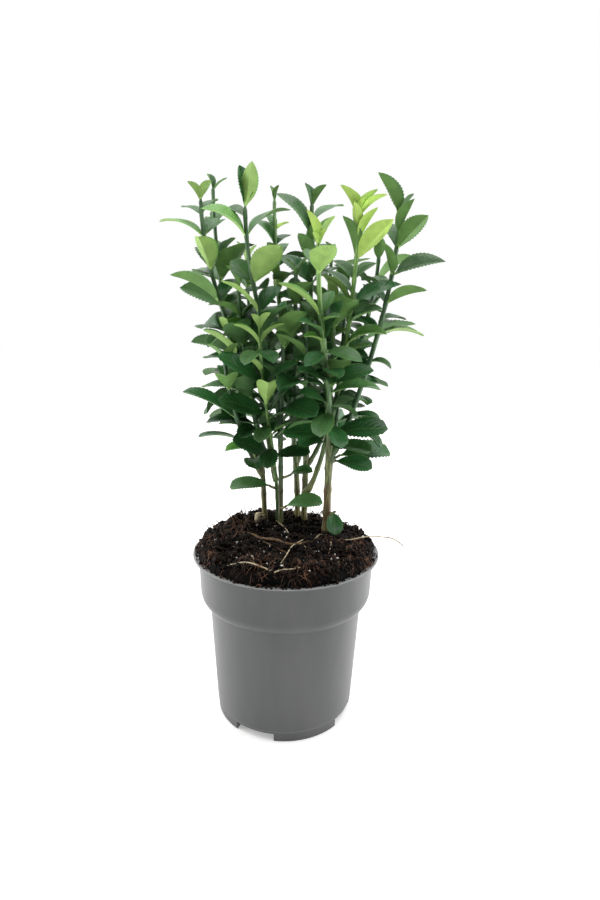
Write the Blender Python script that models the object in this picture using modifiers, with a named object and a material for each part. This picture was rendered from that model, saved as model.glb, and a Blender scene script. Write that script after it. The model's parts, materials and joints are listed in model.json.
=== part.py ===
# Young Japanese spindle in its round grey nursery pot.
# Metres, +Z up. The origin is on the pot's axis, on the ground under the pot.
# +X is to the right and +Y to the back, as seen from the front.

import bmesh
import bpy
import random
from collections import namedtuple
from math import asin, atan2, cos, pi, radians, sin
from mathutils import Matrix, Vector
from mathutils.bvhtree import BVHTree

MM = 0.001
GAP = 0.3 * MM                   # clearance wherever two solids meet
WELD = 0.01 * MM                 # points closer than this are one

# Pot, from the ground up: a 10.5 cm nursery pot with a wide collar
POT_HEIGHT = 96.4 * MM
LIP_RADIUS = 52.5 * MM
LIP_THICK = 1.0 * MM
COLLAR_TOP_RADIUS = 49.4 * MM
COLLAR_LOW_RADIUS = 48.6 * MM
COLLAR_LOW_HEIGHT = 75.5 * MM
BODY_TOP_RADIUS = 43.5 * MM
BODY_TOP_HEIGHT = 68.0 * MM
BODY_LOW_RADIUS = 39.6 * MM
FOOT_RADIUS = 39.0 * MM
FOOT_HEIGHT = 4.6 * MM
FOOT_WIDTH = 5.5 * MM
FOOT_BEVEL = 0.7 * MM
FOOT_SHOULDER = 1.4 * MM         # height of the slope between the foot ring and the body
PAD_RADIUS = 10.0 * MM
WALL = 1.2 * MM
FLOOR = 1.5 * MM
POT_SIDES = 40
COLLAR_STEPS = 4                 # flats in the rounded step under the collar
FOOT_GAPS = 4
FOOT_GAP_ANGLE = radians(34)
FOOT_GAP_TURN = radians(-24)     # middle of the first gap, from +X
NOTCH_ROOF = 0.2 * MM            # left over each gap, below the raised floor
DRAIN_HOLES = 6
DRAIN_RADIUS = 4.0 * MM
DRAIN_CIRCLE = 24.0 * MM
DRAIN_SIDES = 8
DRAIN_TURN = radians(22)         # the first hole, from +X

# Soil: flat on top where the stems stand, rounded down to the rim
SOIL_HEIGHT = 105.0 * MM
SOIL_FLAT_RADIUS = 34.0 * MM
SOIL_EDGE_HEIGHT = 96.0 * MM
SOIL_STEPS = 3                   # flats in the rounded edge

# Canes: a stem from the soil, or a bough from a fork, that runs on as a leafy shoot
GROUND = SOIL_HEIGHT + GAP
FOOT_FLARE = 1.35                # how much thicker a stem is where it meets the soil
FLARE_LENGTH = 5.0 * MM
TIP_RADIUS = 0.95 * MM
FORK_LEAN = radians(38)          # a bough leaves its fork at this angle from the upright
STEM_PULL = 0.33                 # share of a cane's reach over which it keeps its first direction
FORK_PULL = 0.08
TIP_PULL = 0.36                  # and over which it stands up at its tip
STEM_STEP = 12.0 * MM            # distance between the rings of a bare limb
SHOOT_STEP = 22.0 * MM           # and of a leafy one
END_STEP = 1.5 * MM              # straight length at each end of a limb, for a square cut
LIMB_SIDES = 1                   # bevel resolution: 1 gives a limb six sides, and 0 a twig four
TWIG_SIDES = 0
SPRIG_RADIUS = 1.0 * MM
SPRIG_RISE = radians(25)
SPRIG_SEAT = 0.6                 # share of a sprig's twig at which its leaf starts
CURVE_STEPS = 240
DIRECTION_STEPS = 2              # a direction is taken over this many steps on either side

# Leaves: opposite pairs, each pair turned a quarter from the last, counted from the tip down
PAIR_SPACING = 19.5 * MM
PAIR_CROWDING = 0.78             # how much closer the first pair is to the tip
PAIR_OPENING = 0.25              # how fast the spacing opens below it
PAIR_CLOSING = 0.935             # and closes again towards the foot, pair by pair
LEAF_LENGTH = 32.0 * MM
LEAF_WIDTH_RATIO = 0.46
# Along the leaf, where its sections lie, and how full each is across; None is the stalk
LEAF_STATIONS = ((0.0, None), (0.36, 0.86), (0.72, 0.94))
# Share of the full length, from the tip down; 0 stands for the crest's own length
LEAF_GROWN = (0.0, 0.90, 1.0, 1.0, 0.97, 0.93, 0.89, 0.86, 0.84)
LEAF_RISE = (66, 40, 31, 30, 28, 24, 18, 11, 6, 3, 0)    # degrees above level, from the tip down
LEAF_ARCH = radians(48)          # how much the blade bends over along its length
LEAF_FOLD = 0.16                 # margins raised above the midrib, as a part of the width
LEAF_THICK = 0.75 * MM
STALK_WIDTH = 1.0 * MM
STALK_THICK = 0.8 * MM
ROOT_PAST_AXIS = 0.3 * MM        # a leaf starts this far beyond the middle of its stem
PAIR_OFFSET = 0.5 * MM           # one leaf of a pair sits this much higher
LOWEST_PAIR = 4.0 * MM           # least length of shoot below its lowest pair
TURN_JITTER = radians(19)
RISE_JITTER = radians(9)
ROLL_JITTER = radians(22)
LENGTH_JITTER = 0.12
ARCH_RANGE = (0.6, 1.4)
CLEAR = 0.4 * MM                 # least space kept between leaves, and between leaf and limb
SEED = 21

# Leaves seek the light: a blade rolls its upper face away from the crown's axis, more so low
# on a cane, and one that points outwards droops while one that points inwards stands up
CROWN_AXIS = (3 * MM, 18 * MM)
ROLL_OUT = (0, 5, 12, 22, 30, 36, 40, 42)    # degrees, from the tip down
DROOP_OUT = (0, 0, 4, 8, 12, 14, 16, 16)

# Ways round a neighbour, tried in order: turn and rise in degrees, and length
NUDGES = ((0, 0, 1.0), (14, 4, 1.0), (-14, 4, 1.0), (0, 12, 1.0), (0, -12, 1.0), (26, 0, 1.0),
          (-26, 0, 1.0), (20, -16, 0.95), (-20, -16, 0.95), (38, 8, 0.95), (-38, 8, 0.95), (0, 24, 0.9),
          (50, -6, 0.85), (-50, -6, 0.85), (0, -22, 0.8), (0, 30, 0.7))

# One row a cane, in millimetres and degrees. A parent of 0 is the soil, and a fork is the
# height on the parent cane. The bow pushes the middle of the cane sideways.
Cane = namedtuple("Cane", "number parent fork foot tip bow girth leafy crest turn tone")
CANES = (
    Cane(1, 0, 0, (-14, 24), (-48, 18, 286), (5, 0), 3.2, 138, 15, 12, "mid"),
    Cane(2, 0, 0, (-6, 25), (-15, -7, 226), (0, 0), 3.2, 139, 12, 85, "mid"),
    Cane(3, 0, 0, (-4, 20), (-23, 2, 280), (5, 5), 2.9, 152, 28, 90, "fresh"),
    Cane(4, 0, 0, (6, 28), (-10, 40, 290), (0, 0), 3.6, 154, 11, 110, "mid"),
    Cane(5, 0, 0, (10, 23), (11, 25, 286), (1, 0), 3.6, 152, 13, 48, "dark"),
    Cane(6, 0, 0, (23, 8), (14, -16, 262), (3, 0), 4.6, 152, 20, 5, "new"),
    Cane(7, 1, 138, None, (-44, 36, 295), (0, 4), 2.6, 158, 11, 45, "mid"),
    Cane(8, 5, 122, None, (35, 6, 278), (1, 0), 3.0, 140, 20, 50, "new"),
    Cane(9, 6, 149, None, (57, 12, 280), (0, 0), 3.0, 162, 22, 145, "mid"),
    Cane(10, 6, 170, None, (24, 10, 238), (0, 0), 2.2, 182, 14, 0, "mid"),
    Cane(11, 4, 138, None, (24, 62, 264), (0, 4), 2.8, 160, 14, 70, "mid"),
    Cane(12, 2, 130, None, (-28, 62, 260), (0, 8), 2.6, 158, 14, 30, "mid"),
    Cane(13, 5, 138, None, (50, 38, 262), (0, 4), 2.6, 168, 14, 90, "dark"),
    Cane(14, 1, 132, None, (-34, 2, 204), (0, 0), 2.2, 141, 14, -8, "dark"),
    Cane(15, 3, 150, None, (-3, 4, 226), (0, 0), 2.2, 166, 14, 40, "dark"),
    Cane(16, 6, 138, None, (31, 25, 246), (0, 0), 2.2, 158, 14, 60, "dark"),
    Cane(17, 2, 138, None, (-28, 16, 244), (0, 0), 2.2, 158, 14, 70, "dark"),
    Cane(18, 4, 152, None, (3, 14, 250), (0, 0), 2.0, 172, 14, 20, "dark"),
    Cane(19, 5, 142, None, (9, -2, 224), (0, 0), 2.0, 152, 14, 60, "dark"),
)

# Small side shoots near the soil, with one leaf each, in millimetres and degrees. The twig points
# along its azimuth, and right, back and up lead from the leaf's seat on it to the leaf's tip.
Sprig = namedtuple("Sprig", "number parent height azimuth twig right back up arch face tone")
SPRIGS = (
    Sprig(1, 3, 114, -60, 5, 20, -5, 3, 50, 30, "mid"),
    Sprig(2, 6, 115, -45, 4, 0.5, -12, -8, 30, 0, "dark"),
    Sprig(3, 3, 132, -30, 6, 12.5, -5, 3, 50, 25, "mid"),
    Sprig(4, 6, 148, 0, 4, 27, 1, 1, 35, 30, "dark"),
    Sprig(5, 6, 146, -55, 4, 18, -8, -2, 30, 35, "dark"),
    Sprig(6, 2, 125, 235, 6, -22, -2, -1.3, 45, 30, "mid"),
)

# Leaves that the front canes hold where they are seen from the front. Height is on the cane, and
# right, back and up lead from there to the leaf's tip, all in millimetres. Arch is how much the
# blade bends, and face how far its upper side turns to the front, both in degrees.
Held = namedtuple("Held", "cane height right back up arch face")
HELD = (
    Held(1, 285, -6.5, -4, 8.5, 30, -20),
    Held(1, 285, 7, -5, 8.5, 30, -20),
    Held(1, 277, -13, 10, 5.5, 45, 8),
    Held(1, 277, 8, 10, 9, 40, 0),
    Held(1, 266, -26, 6, 8.5, 62, 8),
    Held(1, 266, 8.5, 20, 11, 45, 10),
    Held(1, 249, -3, -22, 15.5, 25, 0),
    Held(1, 249, 2, 24, 13, 45, 0),
    Held(1, 232, -27, -4, 14.5, 42, -8),
    Held(1, 232, 9, 18, 13.5, 45, 0),
    Held(1, 210, -1, -18, 18, 30, 0),
    Held(1, 203, -18, -11, 15, 35, 10),
    Held(1, 198, -24, 15, 2, 40, 10),
    Held(1, 188, -21.5, 12, 5, 40, 20),
    Held(1, 180, -29, 4, 4.5, 50, 4),
    Held(1, 160, -24, 5, 2.5, 50, 15),
    Held(1, 149, -20, 6, -1, 40, 15),
    Held(2, 219, -4, -6, 8, 20, -10),
    Held(2, 219, 6, -4, 8.3, 20, -10),
    Held(2, 211.5, -13.5, -5, 10.2, 55, 10),
    Held(2, 211.5, 13, -3, 10.5, 55, 10),
    Held(2, 208, -6.5, -21, -6, 30, 0),
    Held(2, 208, 8, -19, -5.5, 30, 0),
    Held(2, 196, -6.5, -5, 8, 30, 0),
    Held(2, 189, -24.5, -6, 16, 30, 35),
    Held(2, 189, 18, -12, 12.8, 30, 30),
    Held(2, 178, 2.5, -21, 15, 25, 0),
    Held(2, 178, -3.5, 22, 6, 30, 0),
    Held(2, 172, -26.5, -8, 9.5, 25, 40),
    Held(2, 172, 16, -8, 20, 25, 30),
    Held(2, 159.5, 20, -8, 20.5, 25, 20),
    Held(2, 159.5, -8, 18, 4, 30, 0),
    Held(2, 146, -25.5, -8, 10, 25, 40),
    Held(2, 146, 22, 0, 10.5, 30, 30),
    Held(3, 279, 5, -7, 20.5, 20, -35),
    Held(3, 279, -3.5, 6, 21, 20, 0),
    Held(3, 275, -14, 12, 4, 40, 20),
    Held(3, 265, -21, -12, 11.5, 62, 35),
    Held(3, 265, 23, 8, 14.5, 62, 6),
    Held(3, 242, 16, -15, 18, 30, -25),
    Held(3, 242, -14.5, 8, 11.5, 40, 55),
    Held(3, 226, -20, -8, 17, 45, 8),
    Held(3, 226, 11.5, 10, 15, 40, 20),
    Held(4, 289, -2.5, 1, 8.5, 20, 0),
    Held(4, 289, 2.5, -1, 8, 20, 0),
    Held(4, 273, 8.5, 3, 5, 40, 10),
    Held(4, 273, -6, 6, 9.5, 40, 10),
    Held(4, 264, -14, 4, 14.5, 60, 20),
    Held(4, 264, 9, 8, 7, 40, 10),
    Held(4, 256, -5, -9, 9.5, 30, -20),
    Held(4, 256, 6, 14, 11, 30, 0),
    Held(4, 238, -1, -9, 8, 30, 0),
    Held(5, 283, -4, 4, 13.5, 20, -10),
    Held(5, 283, 8, -3, 10.7, 25, -30),
    Held(5, 268, -20.5, -4, 21.5, 52, 40),
    Held(5, 275, 18.7, 10, 11, 60, 8),
    Held(5, 254, -7.5, -11, 15, 30, -10),
    Held(5, 254, 10, 16, 12, 35, 0),
    Held(5, 243, -20, 4, 15, 50, 35),
    Held(5, 243, 23.5, 6, 9.8, 50, 4),
    Held(5, 229, -16, -14, 8, 35, 30),
    Held(5, 229, 14, -14, 6.5, 35, 30),
    Held(6, 259, -6, -2, 17, 15, 0),
    Held(6, 259, 8, 3, 14.5, 25, 0),
    Held(6, 259, -3, -6, 5.5, 20, 0),
    Held(6, 259, 4, -5, 6.5, 20, 0),
    Held(6, 246, 4, -22, 11.5, 25, 0),
    Held(6, 246, -4, 20, 13, 35, 0),
    Held(6, 226, -21.5, -6, 16, 45, 14),
    Held(6, 226, 6.5, 9, 13, 30, 10),
    Held(6, 224, 9, -9, 2.5, 35, 20),
    Held(6, 213, 10.5, -4, 20.5, 30, 40),
    Held(6, 213, -10, -7, 2.5, 50, 20),
    Held(6, 208, -9.5, -12, -6.5, 40, 30),
    Held(6, 218, -12, -14, 6, 35, 20),
    Held(6, 199, 6, -20, -2, 40, 0),
    Held(6, 199, -18, 6, 4, 35, 20),
    Held(6, 208, 18.5, -10, -4.5, 40, 30),
    Held(6, 191, 23.5, -8, 8, 35, 35),
    Held(6, 191, -15, -14, 8, 35, 30),
    Held(6, 186, 29, 2, 2.2, 50, 12),
    Held(6, 180, -15, -12, 7, 35, 30),
    Held(6, 163, 31, -9, 4.7, 25, 35),
    Held(6, 163, -25, -4, 5, 30, 35),
    Held(6, 157, 24, 4, -2, 25, 20),
    Held(6, 157, 7, -6, -1.5, 40, 20),
    Held(7, 293, 8, 2, 7, 40, 6),
    Held(7, 293, -4, 4, 8.8, 40, 0),
    Held(7, 275, 9, 10, 11, 40, 0),
    Held(7, 275, -6, 3, 4.7, 40, 6),
    Held(7, 256, 9.3, 8, 13.5, 30, -10),
    Held(7, 256, -11.5, 14, 11.5, 30, 0),
    Held(8, 275, -10.7, -3, 16, 30, -20),
    Held(8, 275, 10, 6, 15.5, 30, 0),
    Held(8, 275, -4, 5, 14.5, 20, 0),
    Held(8, 275, 14, -3, 10.5, 40, 0),
    Held(8, 275, 2, -6, 8, 15, 0),
    Held(8, 254.5, 18, -12, 18.5, 25, -40),
    Held(8, 254.5, -8.3, -3, 21, 25, -15),
    Held(8, 245, -12, 8, 10.6, 40, 20),
    Held(8, 245, 13, 6, 9, 40, 20),
    Held(8, 230, -18, -5, 17.4, 60, 10),
    Held(8, 233, 26, -4, 10, 35, 35),
    Held(8, 223, 16, -12, 7, 35, 30),
    Held(8, 211, 21, -8, 5.8, 70, 25),
    Held(8, 209, 18, 6, 2, 30, 30),
    Held(8, 203, 11, 10, 0, 40, 10),
    Held(9, 278, -13.5, -4, 20, 20, -25),
    Held(9, 278, 7, 2, 11, 25, -10),
    Held(9, 261, 14, -14, 15, 25, -35),
    Held(9, 261, -5.5, 14, 15, 35, 0),
    Held(9, 247, -12, -8, 16.5, 30, 30),
    Held(9, 247, 28, -4, 7, 35, 35),
    Held(9, 233, 20, -10, 7, 30, 0),
    Held(9, 233, -12, 12, 10, 30, 0),
    Held(9, 226, 15, 8, -1, 30, 15),
    Held(9, 224, 9, 12, -1, 30, 20),
    Held(9, 217, 26.5, 4, -1, 50, 6),
    Held(9, 217, -14, 10, 7.5, 30, 10),
    Held(9, 202.5, 12, -2, -4, 75, 20),
    Held(9, 202.5, -12, 8, 5, 35, 20),
    Held(9, 182, 7, 6, -3, 40, 20),
)
HELD_CLEAR = 9.0 * MM            # least distance from the lowest of them to the next pair down

PART_NAME = "potted_japanese_spindle"
POT_COLOUR = (0.130, 0.135, 0.140)
PEAT_COLOUR = (0.020, 0.012, 0.008)
BARK_COLOUR = (0.220, 0.200, 0.090)
TONES = {
    "dark": (0.020, 0.085, 0.020),
    "mid": (0.045, 0.165, 0.030),
    "fresh": (0.110, 0.300, 0.050),
    "new": (0.190, 0.420, 0.060),
}


def clear_scene():
    for thing in list(bpy.data.objects):
        bpy.data.objects.remove(thing)


def new_collection(name):
    group = bpy.data.collections.new(name)
    bpy.context.scene.collection.children.link(group)
    return group


def principled(name, colour, roughness):
    material = bpy.data.materials.new(name)
    material.use_nodes = True
    shader = material.node_tree.nodes["Principled BSDF"]
    shader.inputs["Base Color"].default_value = (*colour, 1.0)
    shader.inputs["Roughness"].default_value = roughness
    shader.inputs["Metallic"].default_value = 0.0
    return material


def add_object(name, data, group, material=None):
    thing = bpy.data.objects.new(name, data)
    group.objects.link(thing)
    if material:
        data.materials.append(material)
    return thing


def shade_round(mesh, angle=radians(35)):
    mesh.shade_smooth()
    mesh.set_sharp_from_angle(angle=angle)


def evaluated_mesh(thing):
    """The object's mesh with its modifiers done, as new data."""
    graph = bpy.context.evaluated_depsgraph_get()
    return bpy.data.meshes.new_from_object(thing.evaluated_get(graph), depsgraph=graph)


def turned(name, profile, group, material):
    """A closed turned solid: the profile starts and ends on the axis and runs down its outer side."""
    mesh = bpy.data.meshes.new(name)
    edges = [(i, i + 1) for i in range(len(profile) - 1)]
    mesh.from_pydata([(radius, 0.0, height) for radius, height in profile], edges, [])
    thing = add_object(name, mesh, group, material)
    screw = thing.modifiers.new("turn", "SCREW")
    screw.steps = POT_SIDES
    screw.render_steps = POT_SIDES
    screw.use_merge_vertices = True
    screw.merge_threshold = WELD
    screw.use_smooth_shade = True
    return thing


def collar_outline():
    """The rounded step from collar to body, as radius and height, from the top down."""
    points = []
    for step in range(1, COLLAR_STEPS):
        turn = radians(90) * step / COLLAR_STEPS
        radius = BODY_TOP_RADIUS + (COLLAR_LOW_RADIUS - BODY_TOP_RADIUS) * cos(turn)
        height = COLLAR_LOW_HEIGHT - (COLLAR_LOW_HEIGHT - BODY_TOP_HEIGHT) * sin(turn)
        points.append((radius, height))
    return points


def inner_wall(clear):
    """The inside of the pot from the floor up to the lip, drawn in by a clearance."""
    inset = WALL + clear
    floor = FOOT_HEIGHT + FLOOR + clear
    return [(BODY_LOW_RADIUS - inset - FLOOR, floor), (BODY_LOW_RADIUS - inset, floor + FLOOR),
            (BODY_TOP_RADIUS - inset, BODY_TOP_HEIGHT), (COLLAR_LOW_RADIUS - inset, COLLAR_LOW_HEIGHT)]


def cutter(name, mesh, place, group):
    thing = add_object(name, mesh, group)
    thing.matrix_world = place
    thing.hide_render = True
    thing.display_type = "WIRE"
    return thing


def box_mesh(name, size):
    shape = bmesh.new()
    bmesh.ops.create_cube(shape, size=1.0)
    bmesh.ops.scale(shape, vec=size, verts=shape.verts)
    mesh = bpy.data.meshes.new(name)
    shape.to_mesh(mesh)
    shape.free()
    return mesh


def rod_mesh(name, radius, length, sides):
    shape = bmesh.new()
    bmesh.ops.create_cone(shape, cap_ends=True, segments=sides, radius1=radius, radius2=radius, depth=length)
    mesh = bpy.data.meshes.new(name)
    shape.to_mesh(mesh)
    shape.free()
    return mesh


def subtract(thing, tool):
    cut = thing.modifiers.new("cut " + tool.name, "BOOLEAN")
    cut.operation = "DIFFERENCE"
    cut.solver = "EXACT"
    cut.object = tool


def build_pot(group, cutters, material):
    floor = FOOT_HEIGHT + FLOOR
    inside = [(0.0, floor)] + inner_wall(0.0)
    inside += [(COLLAR_TOP_RADIUS - WALL, POT_HEIGHT - LIP_THICK)]
    inside += [(COLLAR_TOP_RADIUS - WALL / 2, POT_HEIGHT)]
    outside = [(LIP_RADIUS, POT_HEIGHT), (LIP_RADIUS, POT_HEIGHT - LIP_THICK),
               (COLLAR_TOP_RADIUS, POT_HEIGHT - LIP_THICK), (COLLAR_LOW_RADIUS, COLLAR_LOW_HEIGHT)]
    outside += collar_outline()
    outside += [(BODY_TOP_RADIUS, BODY_TOP_HEIGHT), (BODY_LOW_RADIUS, FOOT_HEIGHT + FOOT_SHOULDER),
                (FOOT_RADIUS, FOOT_HEIGHT), (FOOT_RADIUS, FOOT_BEVEL), (FOOT_RADIUS - FOOT_BEVEL, 0.0)]
    underside = [(FOOT_RADIUS - FOOT_WIDTH, 0.0), (FOOT_RADIUS - FOOT_WIDTH, FOOT_HEIGHT),
                 (PAD_RADIUS, FOOT_HEIGHT), (PAD_RADIUS, 0.0), (0.0, 0.0)]
    pot = turned("pot", inside + outside + underside, group, material)

    width = 2 * FOOT_RADIUS * sin(FOOT_GAP_ANGLE / 2)
    notch = box_mesh("foot_notch", (3 * FOOT_WIDTH, width, 2 * (FOOT_HEIGHT - NOTCH_ROOF)))
    for index in range(FOOT_GAPS):
        turn = Matrix.Rotation(FOOT_GAP_TURN + 2 * pi * index / FOOT_GAPS, 4, "Z")
        out = Matrix.Translation((FOOT_RADIUS, 0.0, 0.0))
        subtract(pot, cutter(f"foot_notch_{index + 1}", notch, turn @ out, cutters))

    drill = rod_mesh("drain_drill", DRAIN_RADIUS, 4 * FLOOR, DRAIN_SIDES)
    for index in range(DRAIN_HOLES):
        turn = Matrix.Rotation(DRAIN_TURN + 2 * pi * index / DRAIN_HOLES, 4, "Z")
        out = Matrix.Translation((DRAIN_CIRCLE, 0.0, FOOT_HEIGHT + FLOOR / 2))
        subtract(pot, cutter(f"drain_drill_{index + 1}", drill, turn @ out, cutters))
    return pot


def build_soil(group, material):
    floor = FOOT_HEIGHT + FLOOR + GAP
    edge = COLLAR_TOP_RADIUS - WALL - 2 * GAP
    top = [(0.0, SOIL_HEIGHT), (SOIL_FLAT_RADIUS, SOIL_HEIGHT)]
    for step in range(1, SOIL_STEPS + 1):
        turn = radians(90) * step / SOIL_STEPS
        radius = SOIL_FLAT_RADIUS + (edge - SOIL_FLAT_RADIUS) * sin(turn)
        height = SOIL_EDGE_HEIGHT + (SOIL_HEIGHT - SOIL_EDGE_HEIGHT) * cos(turn)
        top.append((radius, height))
    sides = list(reversed(inner_wall(GAP)))
    return turned("soil", top + sides + [(0.0, floor)], group, material)


def cane_curve(cane, curves):
    """Fine points along a cane: it leaves the soil upright, or its fork leaning, and ends upright."""
    tip = Vector(cane.tip) * MM
    if cane.parent:
        start = fork_point(cane, curves)
        side = (tip - start) * Vector((1, 1, 0))
        lean = side.normalized() * sin(FORK_LEAN) + Vector((0, 0, cos(FORK_LEAN)))
    else:
        start = Vector((cane.foot[0] * MM, cane.foot[1] * MM, GROUND))
        lean = Vector((0, 0, 1))
    reach = (tip - start).length
    pull_start = start + lean * reach * (FORK_PULL if cane.parent else STEM_PULL)
    pull_end = tip - Vector((0, 0, reach * TIP_PULL))
    bow = Vector((cane.bow[0], cane.bow[1], 0)) * MM
    points = []
    for step in range(CURVE_STEPS + 1):
        t = step / CURVE_STEPS
        point = start * (1 - t) ** 3 + pull_start * 3 * t * (1 - t) ** 2
        point += pull_end * 3 * t ** 2 * (1 - t) + tip * t ** 3
        points.append(point + bow * sin(pi * t) ** 2)
    return points


def lengths_along(points):
    total = [0.0]
    for before, after in zip(points, points[1:]):
        total.append(total[-1] + (after - before).length)
    return total


def place_on(points, distance):
    """The point and the direction at a distance along a curve."""
    total = lengths_along(points)
    index = 0
    while index < len(points) - 2 and total[index + 1] < distance:
        index += 1
    step = points[index + 1] - points[index]
    share = (distance - total[index]) / step.length
    before = points[max(index - DIRECTION_STEPS, 0)]
    after = points[min(index + 1 + DIRECTION_STEPS, len(points) - 1)]
    return points[index] + step * share, (after - before).normalized()


def distance_at_height(points, height):
    total = lengths_along(points)
    for index, point in enumerate(points):
        if point.z >= height:
            return total[index]
    return total[-1]


def cane_radius(cane, share):
    """Half the girth at a share of the cane's length, a true taper to the tip."""
    return cane.girth * MM / 2 * (1 - share) + TIP_RADIUS * share


def fork_point(cane, curves):
    """Where a bough's axis starts: outside the parent's bark, with its square end just clear of it."""
    parent = CANES[cane.parent - 1]
    points = curves[cane.parent]
    distance = distance_at_height(points, cane.fork * MM)
    centre, direction = place_on(points, distance)
    bark = cane_radius(parent, distance / lengths_along(points)[-1])
    side = (Vector(cane.tip) * MM - centre) * Vector((1, 1, 0))
    lean = side.normalized() * sin(FORK_LEAN) + Vector((0, 0, cos(FORK_LEAN)))
    own = cane.girth * MM / 2
    angle = direction.angle(lean)
    away = (bark + GAP + own * cos(angle)) / sin(angle)
    return centre + lean * away


def limb_mesh(name, points, begin, end, spacing, sides_setting, radius_at):
    """A tapering limb along part of a path, as a curve with a bevel made into a closed mesh."""
    count = max(2, round((end - begin) / spacing))
    marks = [begin + (end - begin) * step / count for step in range(count + 1)]
    first, first_way = place_on(points, begin)
    last, last_way = place_on(points, end)
    rings = [(first, begin), (first + first_way * END_STEP, begin + END_STEP)]
    rings += [(place_on(points, mark)[0], mark) for mark in marks[1:-1]]
    rings += [(last - last_way * END_STEP, end - END_STEP), (last, end)]

    curve = bpy.data.curves.new(name, "CURVE")
    curve.dimensions = "3D"
    curve.bevel_depth = 1.0
    curve.bevel_resolution = sides_setting
    curve.use_fill_caps = True
    line = curve.splines.new("POLY")
    line.points.add(len(rings) - 1)
    for spot, (point, mark) in zip(line.points, rings):
        spot.co = (*point, 1.0)
        spot.radius = radius_at(mark)
    holder = bpy.data.objects.new(name, curve)
    bpy.context.scene.collection.objects.link(holder)
    bpy.context.view_layer.update()
    mesh = evaluated_mesh(holder)
    bpy.data.objects.remove(holder)
    shape = bmesh.new()
    shape.from_mesh(mesh)
    bmesh.ops.remove_doubles(shape, verts=shape.verts, dist=WELD)
    bmesh.ops.recalc_face_normals(shape, faces=shape.faces)
    shape.to_mesh(mesh)
    shape.free()
    mesh.name = name
    return mesh


def leaf_rings(length, width, arch, extra=0.0):
    """Sections of a leaf lying along +X: narrow stalk, two wide stations and a pointed tip."""
    rings = []
    heading = arch / 2
    x = -ROOT_PAST_AXIS
    z = 0.0
    covered = 0.0
    for share, fullness in LEAF_STATIONS:
        step = (share - covered) * length
        x += step * cos(heading)
        z += step * sin(heading)
        covered = share
        heading -= arch / len(LEAF_STATIONS)
        half = width / 2 * fullness if fullness else STALK_WIDTH / 2
        thick = LEAF_THICK if fullness else STALK_THICK
        lift = half * 2 * LEAF_FOLD if fullness else 0.0
        half += extra
        thick += 2 * extra
        rings.append((Vector((x, half, z + lift)), Vector((x, 0, z + thick / 2)),
                      Vector((x, -half, z + lift)), Vector((x, 0, z - thick / 2))))
    step = (1.0 - covered) * length + extra
    tip = Vector((x + step * cos(heading), 0, z + step * sin(heading)))
    return rings, tip


def leaf_shell(place, length, arch, extra=0.0):
    """Points and faces of one closed leaf, lofted through its sections."""
    rings, tip = leaf_rings(length, length * LEAF_WIDTH_RATIO, arch, extra)
    points = [place @ point for ring in rings for point in ring]
    points.append(place @ tip)
    faces = [(0, 1, 2, 3)]
    for ring in range(len(rings) - 1):
        for side in range(4):
            here = 4 * ring + side
            following = 4 * ring + (side + 1) % 4
            faces.append((here, here + 4, following + 4, following))
    last = 4 * (len(rings) - 1)
    for side in range(4):
        faces.append((last + side, len(points) - 1, last + (side + 1) % 4))
    return points, faces


def leaf_mesh(name, place, length, arch):
    points, faces = leaf_shell(place, length, arch)
    shape = bmesh.new()
    verts = [shape.verts.new(point) for point in points]
    for face in faces:
        shape.faces.new([verts[index] for index in face])
    bmesh.ops.recalc_face_normals(shape, faces=shape.faces)
    mesh = bpy.data.meshes.new(name)
    shape.to_mesh(mesh)
    shape.free()
    return mesh


def pair_distances(whole, lowest):
    """Where the leaf pairs sit, as distances along the cane, from the tip down."""
    marks = []
    mark = whole
    count = 0
    while True:
        mark -= PAIR_SPACING * (1 - PAIR_CROWDING * PAIR_OPENING ** count) * PAIR_CLOSING ** count
        if mark < lowest:
            return marks
        marks.append(mark)
        count += 1


def leaf_place(centre, azimuth, rise, roll):
    """A frame with +X along the leaf, +Z its upper face, at a height on the stem."""
    ahead = Vector((cos(azimuth) * cos(rise), sin(azimuth) * cos(rise), sin(rise)))
    across = Vector((-sin(azimuth), cos(azimuth), 0))
    upper = ahead.cross(across)
    frame = Matrix((ahead, across, upper)).transposed().to_4x4()
    return Matrix.Translation(centre) @ frame @ Matrix.Rotation(roll, 4, "X")


def by_rank(values, rank):
    """A value that is listed from the tip down; the last one holds for every lower pair."""
    return values[min(rank, len(values) - 1)]


def outward_at(point):
    """The level direction from the crown's axis to a point."""
    return Vector((point.x - CROWN_AXIS[0], point.y - CROWN_AXIS[1], 0)).normalized()


def tree_of(mesh):
    points = [vert.co for vert in mesh.vertices]
    return BVHTree.FromPolygons(points, [face.vertices for face in mesh.polygons])


def aimed(tip, arch, face):
    """Azimuth, rise, roll and length of a leaf, from where its tip lies and how it is turned."""
    reach = tip.length
    roll = face if tip.x > 0 else -face
    return atan2(tip.y, tip.x), asin(tip.z / reach) + arch / 6, roll, reach * arch / 2 / sin(arch / 2)


def free_leaf(cane, level, seat, azimuth, rise, roll, size, arch, others, taken):
    """The first place among the nudges that is clear of every limb and leaf, or None."""
    for turn_by, rise_by, size_by in NUDGES:
        place = leaf_place(seat, azimuth + radians(turn_by), rise + radians(rise_by), roll)
        shell = BVHTree.FromPolygons(*leaf_shell(place, size * size_by, arch, CLEAR))
        if any(shell.overlap(tree) for tree in others):
            continue
        if any(shell.overlap(tree) for key, tree in taken if key != (cane.number, level)):
            continue
        blade = BVHTree.FromPolygons(*leaf_shell(place, size * size_by, arch))
        taken.append(((cane.number, level), blade))
        return place, size * size_by, arch
    return None


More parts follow.
